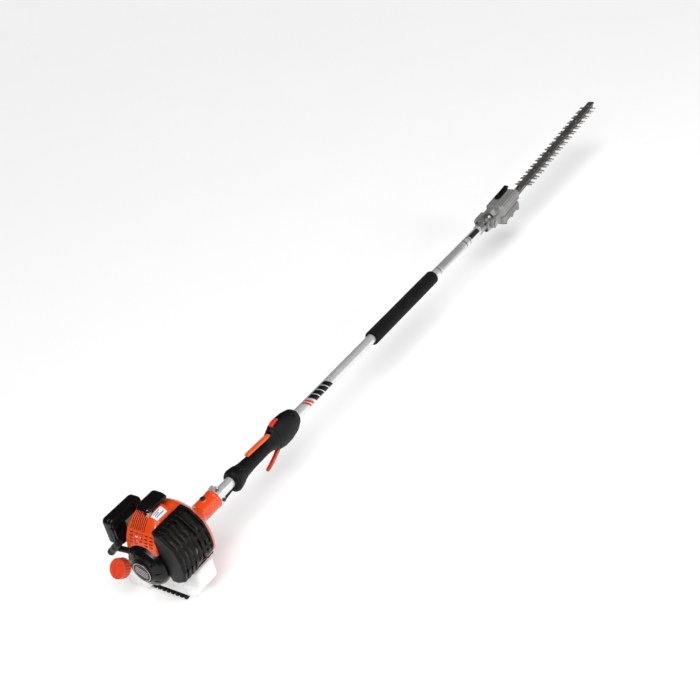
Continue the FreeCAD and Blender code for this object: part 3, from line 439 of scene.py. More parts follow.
def tube_finish():
    """Bright drawn aluminium with fine lines along it, and printed bands and labels without lettering."""
    g = finish_graph("drawn_aluminium", (0.8, 0.8, 0.81), (0.24, 0.38), vary=0.05, grain=500.0,
                     depth=0.04, Metallic=0.55)
    g.bump(g.noise(500.0, 3.0, 0.6, (0.02, 1.0, 1.0)), 0.12, 0.0003)
    height = g.maths("SUBTRACT", g.z, AXIS_Z * MM)
    across = g.maths("MULTIPLY_ADD", g.y, 0.69, g.maths("MULTIPLY", height, 0.72))
    outward = g.maths("MULTIPLY_ADD", g.y, -0.72, g.maths("MULTIPLY", height, 0.69))
    facing = g.maths("GREATER_THAN", outward, 0.0)
    front = g.all_of(g.within(across, -0.0095, 0.0095), facing)
    slant = g.maths("MULTIPLY_ADD", across, 0.7, g.x)
    for i in range(2):
        low = 0.456 + 0.010 * i
        paint(g, g.all_of(front, g.within(slant, low, low + 0.006)), (0.75, 0.07, 0.02), 0.4)
    for i in range(4):
        low = 0.480 + 0.0185 * i
        paint(g, g.all_of(front, g.within(slant, low, low + 0.0155)), (0.012, 0.012, 0.012), 0.4)
    label = g.all_of(g.within(g.x, 1.1, 1.272), g.within(across, -0.0108, 0.0108), facing)
    paint(g, label, (0.72, 0.72, 0.71), 0.35)
    for low, high in ((1.104, 1.109), (1.262, 1.267)):
        paint(g, g.all_of(label, g.within(g.x, low, high)), (0.3, 0.3, 0.31), 0.4)
    for i in range(5):
        low = -0.0078 + 0.0034 * i
        row = g.all_of(g.within(across, low, low + 0.0011), g.within(g.x, 1.118, 1.25 - 0.008 * (i % 3)))
        paint(g, g.all_of(label, row), (0.2, 0.2, 0.2), 0.4)
    strip = g.all_of(g.within(g.x, 1.294, 1.345), g.within(across, -0.005, 0.0085), facing)
    paint(g, strip, (0.05, 0.05, 0.052), 0.4)
    paint(g, g.within(g.x, 1.2855, 1.2885), (0.03, 0.03, 0.03), 0.4)
    return g.mat


def tank_finish():
    g = finish_graph("milky_tank", (0.97, 0.97, 0.96), (0.24, 0.36), vary=0.015, grain=300.0, depth=0.04,
                     Subsurface_Weight=0.4, Subsurface_Scale=0.01, Coat_Weight=0.15, Coat_Roughness=0.2)
    g.shader.inputs["Subsurface Radius"].default_value = (1.0, 0.95, 0.85)
    level = g.ramp(g.maths("MULTIPLY_ADD", g.noise(9.0), 0.004, g.z), 0.042, 0.046, 1.0, 0.0)
    paint(g, g.maths("MULTIPLY", level, 0.25), (0.8, 0.78, 0.72))
    return g.mat


def foam_finish():
    g = finish_graph("closed_cell_foam", (0.0045, 0.0045, 0.005), (0.8, 0.95), vary=0.4, grain=1400.0,
                     depth=0.5, blotch=22.0, Specular_IOR_Level=0.12)
    g.bump(g.cells(900.0), 0.55, 0.0006)
    g.bump(g.noise(60.0, 3.0), 0.25, 0.0012)
    g.sockets(Sheen_Weight=0.06, Sheen_Roughness=0.5)
    return g.mat


def blade_finish():
    """Dark rolled plate whose tooth flanks are ground bright."""
    g = finish_graph("blade_steel", (0.13, 0.122, 0.115), (0.28, 0.45), vary=0.2, grain=900.0,
                     depth=0.12, wear=0.8, worn=(0.5, 0.49, 0.47), Metallic=0.6)
    g.bump(g.noise(900.0, 2.0, 0.5, (0.06, 1.0, 1.0)), 0.15, 0.0002)
    reach = g.maths("ABSOLUTE", g.y)
    paint(g, g.maths("MULTIPLY", g.ramp(reach, 0.0112, 0.0135), 0.9), (0.4, 0.385, 0.37), 0.3)
    return g.mat


def cable_finish():
    g = finish_graph("cable_sheath", (0.006, 0.006, 0.006), (0.4, 0.55), vary=0.2, grain=900.0,
                     depth=0.2, Specular_IOR_Level=0.35)
    wave = g.add("ShaderNodeTexWave", wave_type="BANDS", bands_direction="X")
    wave.inputs["Scale"].default_value = 90.0
    g.links.new(g.place, wave.inputs["Vector"])
    g.bump(wave.outputs["Fac"], 0.5, 0.0006)
    return g.mat


def rope_finish():
    g = finish_graph("braided_cord", (0.62, 0.6, 0.56), (0.7, 0.9), vary=0.1, grain=1600.0, depth=0.4)
    paint(g, g.ramp(g.cells(420.0), 0.25, 0.5, 0.0, 0.55), (0.25, 0.24, 0.23))
    return g.mat


def cover_finish():
    """The orange cover, with a white sticker that carries plain bars only, and painted shade in near-black
    on the part behind the exhaust guard.
    """
    g = finish_graph("orange_cover", ORANGE, (0.2, 0.34), vary=0.05, grain=900.0, depth=0.05, wear=0.2,
                     worn=(0.9, 0.18, 0.06), Coat_Weight=0.2, Coat_Roughness=0.12)
    sticker = g.all_of(g.within(g.x, -0.054, -0.025), g.within(g.y, -0.0275, -0.012),
                       g.maths("GREATER_THAN", g.z, 0.2))
    paint(g, sticker, (0.82, 0.82, 0.83), 0.3)
    for i, reach in enumerate((0.021, 0.012, 0.017)):
        low = -0.0235 + 0.0035 * i
        bar = g.all_of(g.within(g.y, low, low + 0.0018), g.within(g.x, -0.050, -0.050 + reach))
        paint(g, g.all_of(sticker, bar), (0.12, 0.2, 0.38), 0.3)
    # painted shade: the cover is painted near-black where it lies behind the exhaust guard, so the guard's
    # slots look dark
    shade_behind_guard = g.all_of(g.within(g.x, -0.083, 0.005), g.maths("LESS_THAN", g.y, -0.0335),
                            g.maths("LESS_THAN", g.z, 0.2105))
    paint(g, shade_behind_guard, (0.006, 0.006, 0.006), 0.6)
    return g.mat


def fan_shell_finish():
    """Orange, with painted shade in near-black on the face behind the exhaust guard, so the guard's slots
    look dark.
    """
    g = finish_graph("orange_fan_shell", ORANGE, (0.2, 0.34), vary=0.05, grain=900.0, depth=0.05,
                     wear=0.2, worn=(0.9, 0.18, 0.06), Coat_Weight=0.2, Coat_Roughness=0.12)
    # painted shade: the face behind the exhaust guard is painted near-black
    behind = g.all_of(g.maths("LESS_THAN", g.x, 0.005), g.maths("LESS_THAN", g.y, -0.0355),
                      g.within(g.z, 0.096, 0.211))
    paint(g, behind, (0.006, 0.006, 0.006), 0.6)
    return g.mat


def starter_badge_finish():
    g = finish_graph("badge_metal", (0.5, 0.48, 0.47), (0.25, 0.35), vary=0.06, grain=900.0, depth=0.08,
                     Metallic=0.9)
    sunk = g.maths("GREATER_THAN", g.x, -0.10975)
    paint(g, sunk, (0.06, 0.03, 0.03), 0.35)
    return g.mat


tube_metal = tube_finish()
tank_milk = tank_finish()
foam = foam_finish()
blade_metal = blade_finish()
cable_black = cable_finish()
rope_fibre = rope_finish()
cover_orange = cover_finish()
shell_orange = fan_shell_finish()
badge_metal = starter_badge_finish()


# ---- engine covers ----
COVER_SIDE = [(-92, 120), (-92, 163), (-87, 184), (-77, 202), (-63, 216), (-48, 226), (-34, 229),
              (-5, 228), (-5, 120)]
COVER_END = [(-36, 120), (-36, 202), (-30, 216), (-16, 226), (0, 229), (20, 229), (33, 222), (40, 204),
             (43, 150), (41, 120)]
SLOT_PITCH = 4.8
LOUVRE_PITCH, LOUVRE_SPACING = 6.2, 13.0
FAR = 50.0                          # added to a field where its shape is left out
GUIDE_DIR = np.array((-0.556, 0.588, 0.588))               # the way the starter rope is pulled
GUIDE_FOOT = np.array((-90.0, 35.0, AXIS_Z + 26))
GUIDE_END = GUIDE_FOOT + GUIDE_DIR * 24


def cover_field(x, y, z):
    solid = smax(poly(x, z, COVER_SIDE), poly(y, z, COVER_END), 7)
    d = np.maximum(solid, -(solid + WALL))
    d = np.maximum(d, 138 - z)
    d = np.maximum(d, x + 18.5)
    tall = nearest(y, -5.6, SLOT_PITCH, 8)
    d = cut(d, box(x, tall, z, -98, -43, -1.15, 1.15, 199.5, 224, 1.0), 0.8)
    drop = nearest(z, 152, LOUVRE_PITCH, 8)
    shift = nearest(y, -26, LOUVRE_SPACING, 5)
    louvre = box(x, shift, drop, -98, -72, -4.5, 4.5, -1.3, 1.3, 1.1)
    near_starter = np.hypot(y - shift, z - drop - AXIS_Z) < STARTER_RIM + 5
    d = cut(d, louvre + FAR * near_starter, 1.0)
    d = cut(d, box(x, y, z, -66, -24, 30, 60, 120, 196, 3))
    d = cut(d, box(x, y, z, -66, -24, -60, -30, 120, 197, 3))
    d = cut(d, np.maximum(from_axis(y, z) - STARTER_RIM - 0.9, x + 79.8))
    d = cut(d, np.maximum(from_axis(y, z) - 37, x + 70))
    d = cut(d, rod(x, y, z, GUIDE_FOOT, GUIDE_END, 6.8))
    return cut(d, rod(x, y, z, (PLUG_X, 0, 215), (PLUG_X, 0, 240), 10))


skin("engine_cover", cover_field, (-93, -37, 137), (-17, 44, 230), step=0.8, body="root",
     material=cover_orange, stands_for=["cylinder_cover"])


def past_flat(y, z, distance):
    """Positive beyond the flat across the fan housing's lower right corner."""
    return (-y - (z - AXIS_Z)) * math.sqrt(0.5) - distance


def bell_space(x, y, z, grow):
    """The fan housing's own room, which the pieces around it leave free."""
    body = np.maximum(BELL.field(x, from_axis(y, z), grow), np.maximum(-41 - x, HOUSING_FLOOR - grow - z))
    return np.maximum(body, past_flat(y, z, HOUSING_FLAT + grow))


BELL = Profile([(-42, 88), (0, 88), (12, 85), (22, 77), (32, 63), (42, 47), (50, 35), (58, 26), (66, 21),
                (130, 21)], 40)
BELL_ROOM = Profile([(-42, 85), (0, 85), (11, 81.5), (21, 73), (30, 62), (31, 20), (60, 10)], 8)


def fan_shell_field(x, y, z):
    r = from_axis(y, z)
    d = smax(BELL.field(x, r), x - 117, 1.5)
    d = smax(d, HOUSING_FLOOR - z, 4)
    d = smax(d, past_flat(y, z, HOUSING_FLAT), 4)
    turn = np.arctan2(z - AXIS_Z, y)
    flute = np.exp(-(nearest(turn, -math.pi + math.pi / 8, math.pi / 4, 8) * r / 1.6) ** 2)
    d = d + 0.8 * flute * np.clip((x - 56) / 10, 0, 1) * np.clip((108 - x) / 4, 0, 1)
    d = smin(d, rod(x, y, z, (NECK_SCREW_X, 0, 135), (NECK_SCREW_X, 0, 146), 7.2), 2.5)
    d = smin(d, rod(x, y, z, (111, 0, AXIS_Z), (117, 0, AXIS_Z), 21.7, 1.2), 1.5)
    d = np.maximum(d, -18 - x)
    room = np.maximum(BELL_ROOM.field(x, r), HOUSING_FLOOR + 2.5 - z)
    room = np.maximum(room, past_flat(y, z, HOUSING_FLAT - 2.5))
    d = np.maximum(d, -np.maximum(room, x - 31))
    d = cut(d, np.maximum(r - TUBE_RADIUS - 0.05, 40 - x))
    return cut(d, rod(x, y, z, (NECK_SCREW_X, 0, 144), (NECK_SCREW_X, 0, 150), 3.2))


skin("fan_shell", fan_shell_field, (-19, -89, 57), (118, 89, 214), step=1.18, body="root",
     material=shell_orange, stands_for=["fan_housing"])

GUARD = [(-35.5, 216.5), (-57, 211), (-84, 186), (-93, 155), (-93, 128), (-84, 104), (-64, 94), (-48, 94),
         (-40, 120), (-38.5, 150), (-38, 198)]
GUARD_ROOM = [(-28, 214), (-56, 208.3), (-81.6, 184.6), (-90, 154.6), (-90, 128.6), (-82, 106.4),
              (-63.4, 97), (-40, 97), (-30, 120), (-28, 198)]
GUARD_PANEL = [(-66, 96), (-8, 96), (-8, 124), (-24, 134), (-66, 134)]


def guard_field(x, y, z):
    """Thin shield beside the muffler: seven grooves with three rows of slots in them."""
    wave = nearest(x, -75, 12, 7)
    grooved = np.clip((z - 100) / 8, 0, 1) * np.clip((-42 - y) / 6, 0, 1)
    shell = poly(y, z, GUARD)
    d = smax(shell + 1.5 * np.exp(-(wave / 2.6) ** 2) * grooved, slab(x, -85, 6), 6)
    room = smax(poly(y, z, GUARD_ROOM), slab(x, -82.3, 3.3), 4)
    d = np.maximum(d, -room)
    slot = np.maximum(abs(wave) - 2.4, y + 48)
    rows = np.minimum(np.minimum(slab(z, 112, 134), slab(z, 141, 168)), slab(z, 175, 213))
    d = cut(d, smax(slot, rows, 2), 0.8)
    panel = np.maximum(abs(poly(x, z, GUARD_PANEL)) - 1.1, y + 60)
    d = smin(d, np.maximum(panel, -(shell + 3.2)) + 0.2, 1.2)
    d = smax(d, shell, 1.5)
    d = cut(d, bell_space(x, y, z, 0.9))
    d = cut(d, np.maximum(from_axis(y, z) - STARTER_RIM - 1, x + 79))
    return cut(d, rod(x, y, z, (-34, -60, 122), (-34, -110, 102), 8.2))


skin("exhaust_guard", guard_field, (-86, -93.5, 93), (7, -34, 217), step=0.85, body="root",
     material=black_heat, stands_for=["muffler_guard"])

STARTER = Profile([(-112, 21), (-109, 25), (-106, 29), (-102, 37), (-96, 44), (-89, STARTER_RIM),
                   (-78, STARTER_RIM)], 12)
STARTER_ROOM = Profile([(-106, 20), (-102, 27), (-100, 33), (-94, 41), (-88, 45.4), (-78, 45.4)], 12)


def starter_field(x, y, z):
    r = from_axis(y, z)
    d = smax(STARTER.field(x, r), -109 - x, 1.2)
    d = np.maximum(d, x + 80.3)
    d = smin(d, rod(x, y, z, GUIDE_FOOT, GUIDE_END, 6, 1.2), 3)
    room = np.maximum(STARTER_ROOM.field(x, r), -102 - x)
    d = np.maximum(d, -np.maximum(room, 5 - r))
    turn = np.arctan2(y, z - AXIS_Z)
    vent = nearest(turn, -math.pi + math.pi / 10, math.pi / 5, 10)
    d = cut(d, np.maximum(abs(vent) * r - 1.5, slab(r, 31.5, 41)), 1.0)
    d = cut(d, np.maximum(slab(r, 24.2, 25.6), x + 107.6), 0.6)
    d = cut(d, rod(x, y, z, (-110, BADGE_Y, AXIS_Z), (-108.2, BADGE_Y, AXIS_Z), 22.9), 0.4)
    return cut(d, rod(x, y, z, GUIDE_FOOT - GUIDE_DIR * 6, GUIDE_END + GUIDE_DIR * 2, 2.8))


skin("starter_shell", starter_field, (-110, -54, 71), (-79, 56, 179), step=0.8, body="root",
     material=black_gloss, stands_for=["starter_housing"])


def badge_field(x, y, z):
    r = np.hypot(y - BADGE_Y, z - AXIS_Z)
    plate = rod(x, y, z, (-109.3, BADGE_Y, AXIS_Z), (-107.9, BADGE_Y, AXIS_Z), 22.4, 0.3)
    rim = np.maximum(slab(r, 20.4, 22.0), slab(x, -110.1, -108.8))
    tilted = (z - AXIS_Z) * 0.94 - y * 0.34
    bar = np.maximum(abs(nearest(tilted, -8, 5.3, 4)) - 1.1, np.maximum(r - 16.5, slab(x, -110.1, -108.8)))
    return np.minimum(plate, np.minimum(rim, bar))


skin("starter_badge", badge_field, (-110.4, -24, 102), (-107.6, 22, 148), step=(0.3, 0.5, 0.5),
     body="root", material=badge_metal)


def filter_cover_field(x, y, z):
    d = box(x, y, z, -92, -4, 60, 94, 152, 216, 11)
    panel = box(x, y, z, -84, -12, 92.6, 99, 160, 208, 6)
    d = cut(d, panel, 1.2)
    rib = box(nearest(x, -77, 8.4, 8), y, z, -1.6, 1.6, 86, 93.6, 166, 202, 1.4)
    d = smin(d, rib, 1.0)
    d = smin(d, rod(x, y, z, (-48, 85, 184), (-48, 94, 184), 8.5, 1.5), 1.2)
    d = cut(d, box(x, y, z, -54, -42, 92.4, 97, 183, 185, 0.6), 0.5)
    d = np.maximum(d, -box(x, y, z, -89.4, -22.6, 50, 90.4, 154.6, 213.4, 9))
    parting = np.exp(-((y - 74) / 0.9) ** 2)
    d = d + 0.9 * parting
    return np.maximum(cut(d, bell_space(x, y, z, 1.0)), 65.3 - y)


skin("filter_cover", filter_cover_field, (-93, 65, 151), (-3, 95, 217), step=0.85, body="root",
     material=black_gloss, stands_for=["air_filter_cover"])


def plug_cap_field(x, y, z):
    end = poly(y, z, [(-12, 226), (-11, 235), (0, 240), (18, 241.5), (25, 237), (28, 226)])
    end = end + 4.0 * np.clip((-36 - x) / 20, 0, 1) ** 2
    crown = 241.5 - 0.007 * (x + 20) ** 2
    d = smax(smax(end, slab(x, -57, 0), 7), z - crown, 3)
    d = d + 0.5 * np.exp(-(nearest(y, 2, 6, 3) / 1.0) ** 2) * np.clip((z - 236) / 2, 0, 1)
    d = np.maximum(d, 229.3 - z)
    return cut(d, rod(x, y, z, (PLUG_X, 0, 225), (PLUG_X, 0, 234), 8))


skin("plug_cap", plug_cap_field, (-58, -13, 229), (1, 29, 242), step=0.7, body="root",
     material=black_gloss, stands_for=["plug_cover"])


# ---- fuel tank ----
NECK_DIR = np.array((-0.8, 0.0, 0.6))
NECK_TOP = np.array((-86.0, 100.0, 78.0))
NECK_FOOT = NECK_TOP - NECK_DIR * 44


def tank_field(x, y, z):
    d = box(x, y, z, -52, 12, -53, 84, 9, 84, 18)
    d = smin(d, box(x, y, z, -68, -24, 58, 118, 12, 70, 12), 9)
    d = smin(d, box(x, y, z, -46, 10, -76, -34, 38, 92, 13), 8)
    d = smin(d, rod(x, y, z, NECK_FOOT, NECK_TOP, 15.8, 0.8), 4)
    seam = np.exp(-((z - 46) / 1.1) ** 2)
    d = d + 0.5 - 0.5 * seam
    d = cut(d, bell_space(x, y, z, 1.2), 2.5)
    return cut(d, np.maximum(from_axis(y, z) - 37.2, slab(x, -90, -16)), 2)


skin("tank_body", tank_field, (-101, -77, 8), (13, 119, 94), step=1.4, body="root", material=tank_milk,
     stands_for=["fuel_tank"])


def cap_field(x, y, z):
    u, v, w = x - NECK_TOP[0], y - NECK_TOP[1], z - NECK_TOP[2]
    along = u * NECK_DIR[0] + w * NECK_DIR[2]
    side = u * 0.6 + w * 0.8
    r = np.sqrt(side * side + v * v)
    turn = np.arctan2(v, side)
    knurl = 1.25 * (0.5 + 0.5 * np.cos(24 * turn)) * np.clip((5.5 - along) / 2, 0, 1)
    d = smax(r - 21.4 + knurl, slab(along, -12, 7), 2.0)
    d = cut(d, np.maximum(r - 15.5, 5.6 - along), 1.0)
    grip = np.maximum(abs(v) - 2.6, np.maximum(r - 14.2, slab(along, 2, 6.9)))
    d = smin(d, grip, 1.4)
    return np.maximum(d, -np.maximum(r - 16.3, along - 2.4))


skin("tank_cap", cap_field, (-109, 78, 53), (-58, 122, 100), step=0.75, body="fuel_cap",
     material=orange_cap, stands_for=["fuel_cap"])


def stand_field(x, y, z):
    d = box(x, y, z, -45, 14, -22, 82, 0, 5, 1.4)
    tread = box(x, nearest(y, -18, 12, 9), z, -48, -40, -4, 4, 0, 9, 1.6)
    d = smin(d, tread, 1.2)
    for px in (-30, 4):
        for py in (-20, 45):
            d = smin(d, box(x, y, z, px, px + 6, py, py + 26, 2, 9, 1.2), 1)
    d = cut(d, box(nearest(x, -22, 16, 3), y, z, -4.5, 4.5, -10, 70, 3, 8, 1.2), 0.8)
    return np.maximum(d, -tank_field(x, y, z) + 0.3)


skin("stand_treads", stand_field, (-49, -23, -1), (15, 87, 11), step=0.9, body="root", material=black,
     stands_for=["tank_stand"])


# ---- pole controls ----
# stations along the pole: place, height of the middle above the axis, half width, half height
HANDLE = [(174, -3, 20, 24), (183, -3.5, 23, 28), (197, -3, 20.5, 26), (216, -1.5, 17, 18.5),
          (245, -1.5, 16.5, 15.5), (298, -1.5, 16.5, 15.5), (316, -1, 17, 21), (334, 0, 19.5, 34),
          (356, -1, 21, 39), (380, -2, 21, 38), (404, -2, 19, 31), (418, -1, 15, 19)]
H_RISE, H_WIDE, H_TALL = (Profile([(station[0], station[i]) for station in HANDLE], 30) for i in (1, 2, 3))


def handle_shape(x, y, z):
    wide, tall = H_WIDE.value(x), H_TALL.value(x)
    q = np.sqrt((y / wide) ** 2 + ((z - AXIS_Z - H_RISE.value(x)) / tall) ** 2)
    d = (q - 1) * np.minimum(wide, tall)
    collar = 1.3 * np.exp(-((x - 207) / 2.2) ** 2) + 0.9 * np.exp(-((x - 331) / 1.6) ** 2)
    wave = 0.5 + 0.5 * np.cos(2 * math.pi * (x - 268) / 7.6)
    grip = 0.7 * np.clip(1 - abs(x - 268) / 46, 0, 1) ** 0.5 * wave
    d = d + collar + grip * np.clip((AXIS_Z + 6 - z) / 6, 0, 1)
    d = smax(d, slab(x, 174, 418), 4)
    d = cut(d, from_axis(y, z) - TUBE_RADIUS - 0.05)
    d = cut(d, box(x, y, z, 234, 323, -6.8, 6.8, 138.9, 175, 0.8), 0.8)
    d = cut(d, box(x, y, z, 331, 367, -5.6, 5.6, 150, 175, 0.8), 0.8)
    return cut(d, box(x, y, z, 318, 364, -6, 6, 80, 110, 0.8), 0.8)


def cable_room(x, y, z):
    return rod(x, y, z, (200, 0, 107.2), (150, 0, 102.6), 3.3)


def left_handle_field(x, y, z):
    return cut(smax(handle_shape(x, y, z), 0.12 - y, 0.9), cable_room(x, y, z))


def right_handle_field(x, y, z):
    d = cut(smax(handle_shape(x, y, z), y + 0.12, 0.9), cable_room(x, y, z))
    for sx, sz in ((192, 104), (200, 140), (396, 146), (396, 104)):
        d = cut(d, rod(x, y, z, (sx, -30, sz), (sx, -12, sz), 3.2), 0.8)
    return d


skin("handle_shell_left", left_handle_field, (173, 0, 84), (419, 22, 164), step=0.95, body="root",
     material=rubber, stands_for=["handle_left"])
skin("handle_shell_right", right_handle_field, (173, -22, 84), (419, 0, 164), step=0.95, body="root",
     material=rubber, stands_for=["handle_right"])


def lockout_field(x, y, z):
    d = poly(x, z, [(318, 139.4), (318, 145.6), (298, 147.3), (246, 148.9), (239.3, 147.5), (238.3, 144.1)])
    d = smin(d, np.hypot(x - LOCKOUT_X, z - LOCKOUT_Z) - 3.2, 1)
    d = smax(d, abs(y) - 5.9, 2.2)
    return d + 0.35 * np.exp(-(nearest(x, 252, 6, 6) / 1.0) ** 2) * np.clip((z - 146.5) / 1.5, 0, 1)


skin("lockout_lever", lockout_field, (237, -7, 138.5), (322, 7, 150), step=0.55, body="throttle_lockout",
     material=orange_lever, stands_for=["throttle_lockout"])

TRIGGER = [(352, 103.5), (346, 104), (338, 96), (318, 84), (300, 75), (288, 71), (286.5, 66), (296, 67),
           (312, 73), (330, 82), (346, 92), (356, 98)]


def trigger_field(x, y, z):
    d = smax(poly(x, z, TRIGGER), abs(y) - 4.4, 1.8)
    d = d + 0.4 * np.exp(-(nearest(x, 296, 5, 8) / 0.9) ** 2) * (abs(y) < 3.2)
    return cut(d, np.hypot(x - TRIGGER_X, z - TRIGGER_Z) - 2.1, 0.4)


skin("trigger_lever", trigger_field, (285, -5, 65), (357, 5, 105), step=0.6, body="throttle_trigger",
     material=red_trigger, stands_for=["throttle_trigger"])


def switch_field(x, y, z):
    crown = 163.3 - 0.012 * (x - 347) ** 2
    d = smax(box(x, y, z, 333, 357, -5, 5, 152, 164.4, 1.2), z - crown, 0.8)
    rib = box(nearest(x, 337.5, 3.8, 5), y, z, -0.8, 0.8, -4.4, 4.4, 158, 164.2, 0.6)
    return smin(d, rib, 0.5)


skin("switch_slider", switch_field, (332, -6, 151), (358, 6, 165), step=0.45, body="stop_switch",
     material=red_switch, stands_for=["stop_switch"])


def pull_bar_field(x, y, z):
    centre = GUIDE_END + GUIDE_DIR * 8
    across = np.array((0.0, 1.0, -1.0)) / math.sqrt(2)
    u, v, w = x - centre[0], y - centre[1], z - centre[2]
    t = v * across[1] + w * across[2]
    r = np.sqrt(np.maximum(u * u + v * v + w * w - t * t, 0))
    waist = 8 - 1.0 * np.exp(-((abs(t) - 12) / 6) ** 2)
    d = smax(r - waist, abs(t) - 27, 5)
    d = d + 0.35 * np.exp(-(nearest(t, -22.8, 3.8, 13) / 0.8) ** 2) * (abs(t) > 9)
    return smin(d, rod(x, y, z, GUIDE_END + GUIDE_DIR * 0.5, centre, 5.4, 1.2), 2.5)


skin("pull_handle", pull_bar_field, (-119, 29, 143), (-96, 80, 197), step=0.75, body="starter_grip",
     material=black, stands_for=["starter_grip"])


# ---- starter rope ----
def rod_mesh(name, start, end, radius, rings, sides):
    """Straight round rod with enough rings along it to stretch smoothly."""
    start, end = Vector(start), Vector(end)
    ahead = (end - start).normalized()
    side = ahead.cross(Vector((0.31, 0.22, 0.92))).normalized()
    over = side.cross(ahead)
    verts, faces = [], []
    for i in range(rings):
        centre = start.lerp(end, i / (rings - 1))
        for k in range(sides):
            a = 2 * math.pi * k / sides
            verts.append((centre + (side * math.cos(a) + over * math.sin(a)) * radius) * MM)
    for i in range(rings - 1):
        for k in range(sides):
            a, b = i * sides + k, i * sides + (k + 1) % sides
            faces.append((a, b, b + sides, a + sides))
    faces.append(tuple(range(sides - 1, -1, -1)))
    faces.append(tuple(range(len(verts) - sides, len(verts))))
    mesh = bpy.data.meshes.new(name)
    mesh.from_pydata(verts, [], faces)
    mesh.polygons.foreach_set("use_smooth", [len(f.vertices) == 4 for f in mesh.polygons])
    return mesh


ROPE_RADIUS = 1.9
rope_rod = rod_mesh("pull_rope", GUIDE_FOOT + GUIDE_DIR * 4, GUIDE_END + GUIDE_DIR * 4, ROPE_RADIUS, 60, 12)
rope = place_piece("pull_rope", rope_rod, None, rope_fibre)
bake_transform(rope)


# ---- fuel line from the tank up to the carburetor ----
fuel_curve = bpy.data.curves.new("fuel_line", "CURVE")
fuel_curve.dimensions = "3D"
fuel_curve.bevel_depth = 2.3 * MM
fuel_curve.bevel_resolution = 4
FUEL_ROUTE = [(-44, 76, 79), (-47, 74, 96), (-58, 66, 112), (-70, 56, 126), (-76, 52, 145), (-77, 51, 162),
              (-70, 50, 172), (-61, 49, 172)]
run = fuel_curve.splines.new("NURBS")
run.points.add(len(FUEL_ROUTE) - 1)
for point, place in zip(run.points, FUEL_ROUTE):
    point.co = [v * MM for v in place] + [1.0]
run.order_u = 3
run.use_endpoint_u = True
run.resolution_u = 12
place_piece("fuel_line", fuel_curve, "root", fuel_rubber)


# ---- front foam grip ----
def foam_sleeve():
    """Closed tube of foam, a little uneven along its length, with rounded ends."""
    sides, rings = 72, 150
    verts, faces = [], []
    end = [(2.5, GRIP_BORE), (0.8, 14.0), (0.0, 16.2), (0.8, 17.8), (3.0, 18.7)]
    profile = [(GRIP_START + inset, r) for inset, r in end]
    profile += [(GRIP_START + 5 + (GRIP_END - GRIP_START - 10) * i / rings, None) for i in range(rings + 1)]
    profile += [(GRIP_END - inset, r) for inset, r in reversed(end)]
    for x, r in profile:
        for k in range(sides):
            a = 2 * math.pi * k / sides
            radius = r
            if r is None:
                radius = GRIP_RADIUS + 0.1 * math.sin(x / 31 + 2 * a)
                radius += 0.09 * math.sin(x / 11.3 + 1.3) * math.cos(3 * a)
            verts.append((x * MM, radius * math.cos(a) * MM, (AXIS_Z + radius * math.sin(a)) * MM))
    for i in range(len(profile) - 1):
        for k in range(sides):
            a, b = i * sides + k, i * sides + (k + 1) % sides
            faces.append((a, a + sides, b + sides, b))
    for k in range(sides):
        last = (len(profile) - 1) * sides
        a, b = k, (k + 1) % sides
        faces.append((last + a, a, b, last + b))
    mesh = bpy.data.meshes.new("foam_sleeve")
    mesh.from_pydata(verts, [], faces)
    mesh.polygons.foreach_set("use_smooth", [True] * len(mesh.polygons))
    return mesh


sleeve = place_piece("foam_sleeve", foam_sleeve(), "root", foam, ["front_grip"])


# ---- cutter head ----
def case_side(x, y, start, half):
    """1 on the sides of the gear case, where its long grooves are, fading to 0 at its ends."""
    along = np.clip((x - start) / 5, 0, 1) * np.clip((160 - x) / 6, 0, 1)
    return np.clip((abs(y) - half) / 3, 0, 1) * along


def gear_case_field(x, y, z):
    """Ribbed case of the blade drive, with two ears that turn on the pole's pivot housing."""
    d = box(x, y, z, 62, 176, -28.5, 28.5, -16.5, 18.3, 7)
    d = smax(d, (x - 168) * 0.78 + (z - 8) * 0.62 - 6, 3)
    d = cut(d, poly(x, y, [(122, 30), (140, 17), (182, 11.7), (182, 44), (122, 44)]), 2.5)
    d = smin(d, box(x, y, z, 20, 72, -22, 22, -16.4, 16, 8), 7)
    dome = np.sqrt((x - 36) ** 2 + (y + 6) ** 2 + (z - 4) ** 2) - 20
    d = smin(d, dome, 3)
    d = smin(d, rod(x, y, z, (36, -6, 8), (36, -6, 26), 8.5, 2.5), 3)
    ridge = abs(nearest(y, -22, 9, 3)) - 1.7
    d = smin(d, smax(ridge, box(x, y, z, 64, 166, -26, 26, 10, 20.6, 2), 1), 1.6)
    level = np.exp(-((z - 8.5) / 1.5) ** 2) + np.exp(-((z + 2) / 1.5) ** 2) + np.exp(-((z + 11) / 1.3) ** 2)
    d = d + 1.5 * level * case_side(x, y, 74, 24)
    for s in (-1, 1):
        y0, y1 = sorted((s * 20.4, s * 30))
        ear = rod(x, y, z, (0, y0, 0), (0, y1, 0), 14, 1.4)
        arm = box(x, y, z, 0, 34, y0, y1, -13, 13, 2.0)
        d = smin(d, smin(ear, arm, 1.5), 2.5)
    d = cut(d, rod(x, y, z, (0, -40, 0), (0, 40, 0), 4.1, 0.2), 0.3)
    d = cut(d, box(x, y, z, -30, 19.5, -PIVOT_GAP, PIVOT_GAP, -40, 40, 1))
    d = cut(d, rod(x, y, z, (10, 0, 0), (25, 0, 0), 18.3))
    d = cut(d, rod(x, y, z, (15, 0, 0), (82, 0, 0), 5.1))
    return cut(d, box(x, y, z, 144, 200, -11.4, 11.4, -24, -12.8, 0.5))


skin("gear_case_shell", gear_case_field, (-15, -31, -18), (178, 31, 28), step=0.95, body="head",
     material=cast, stands_for=["gear_case"], place=HEAD)


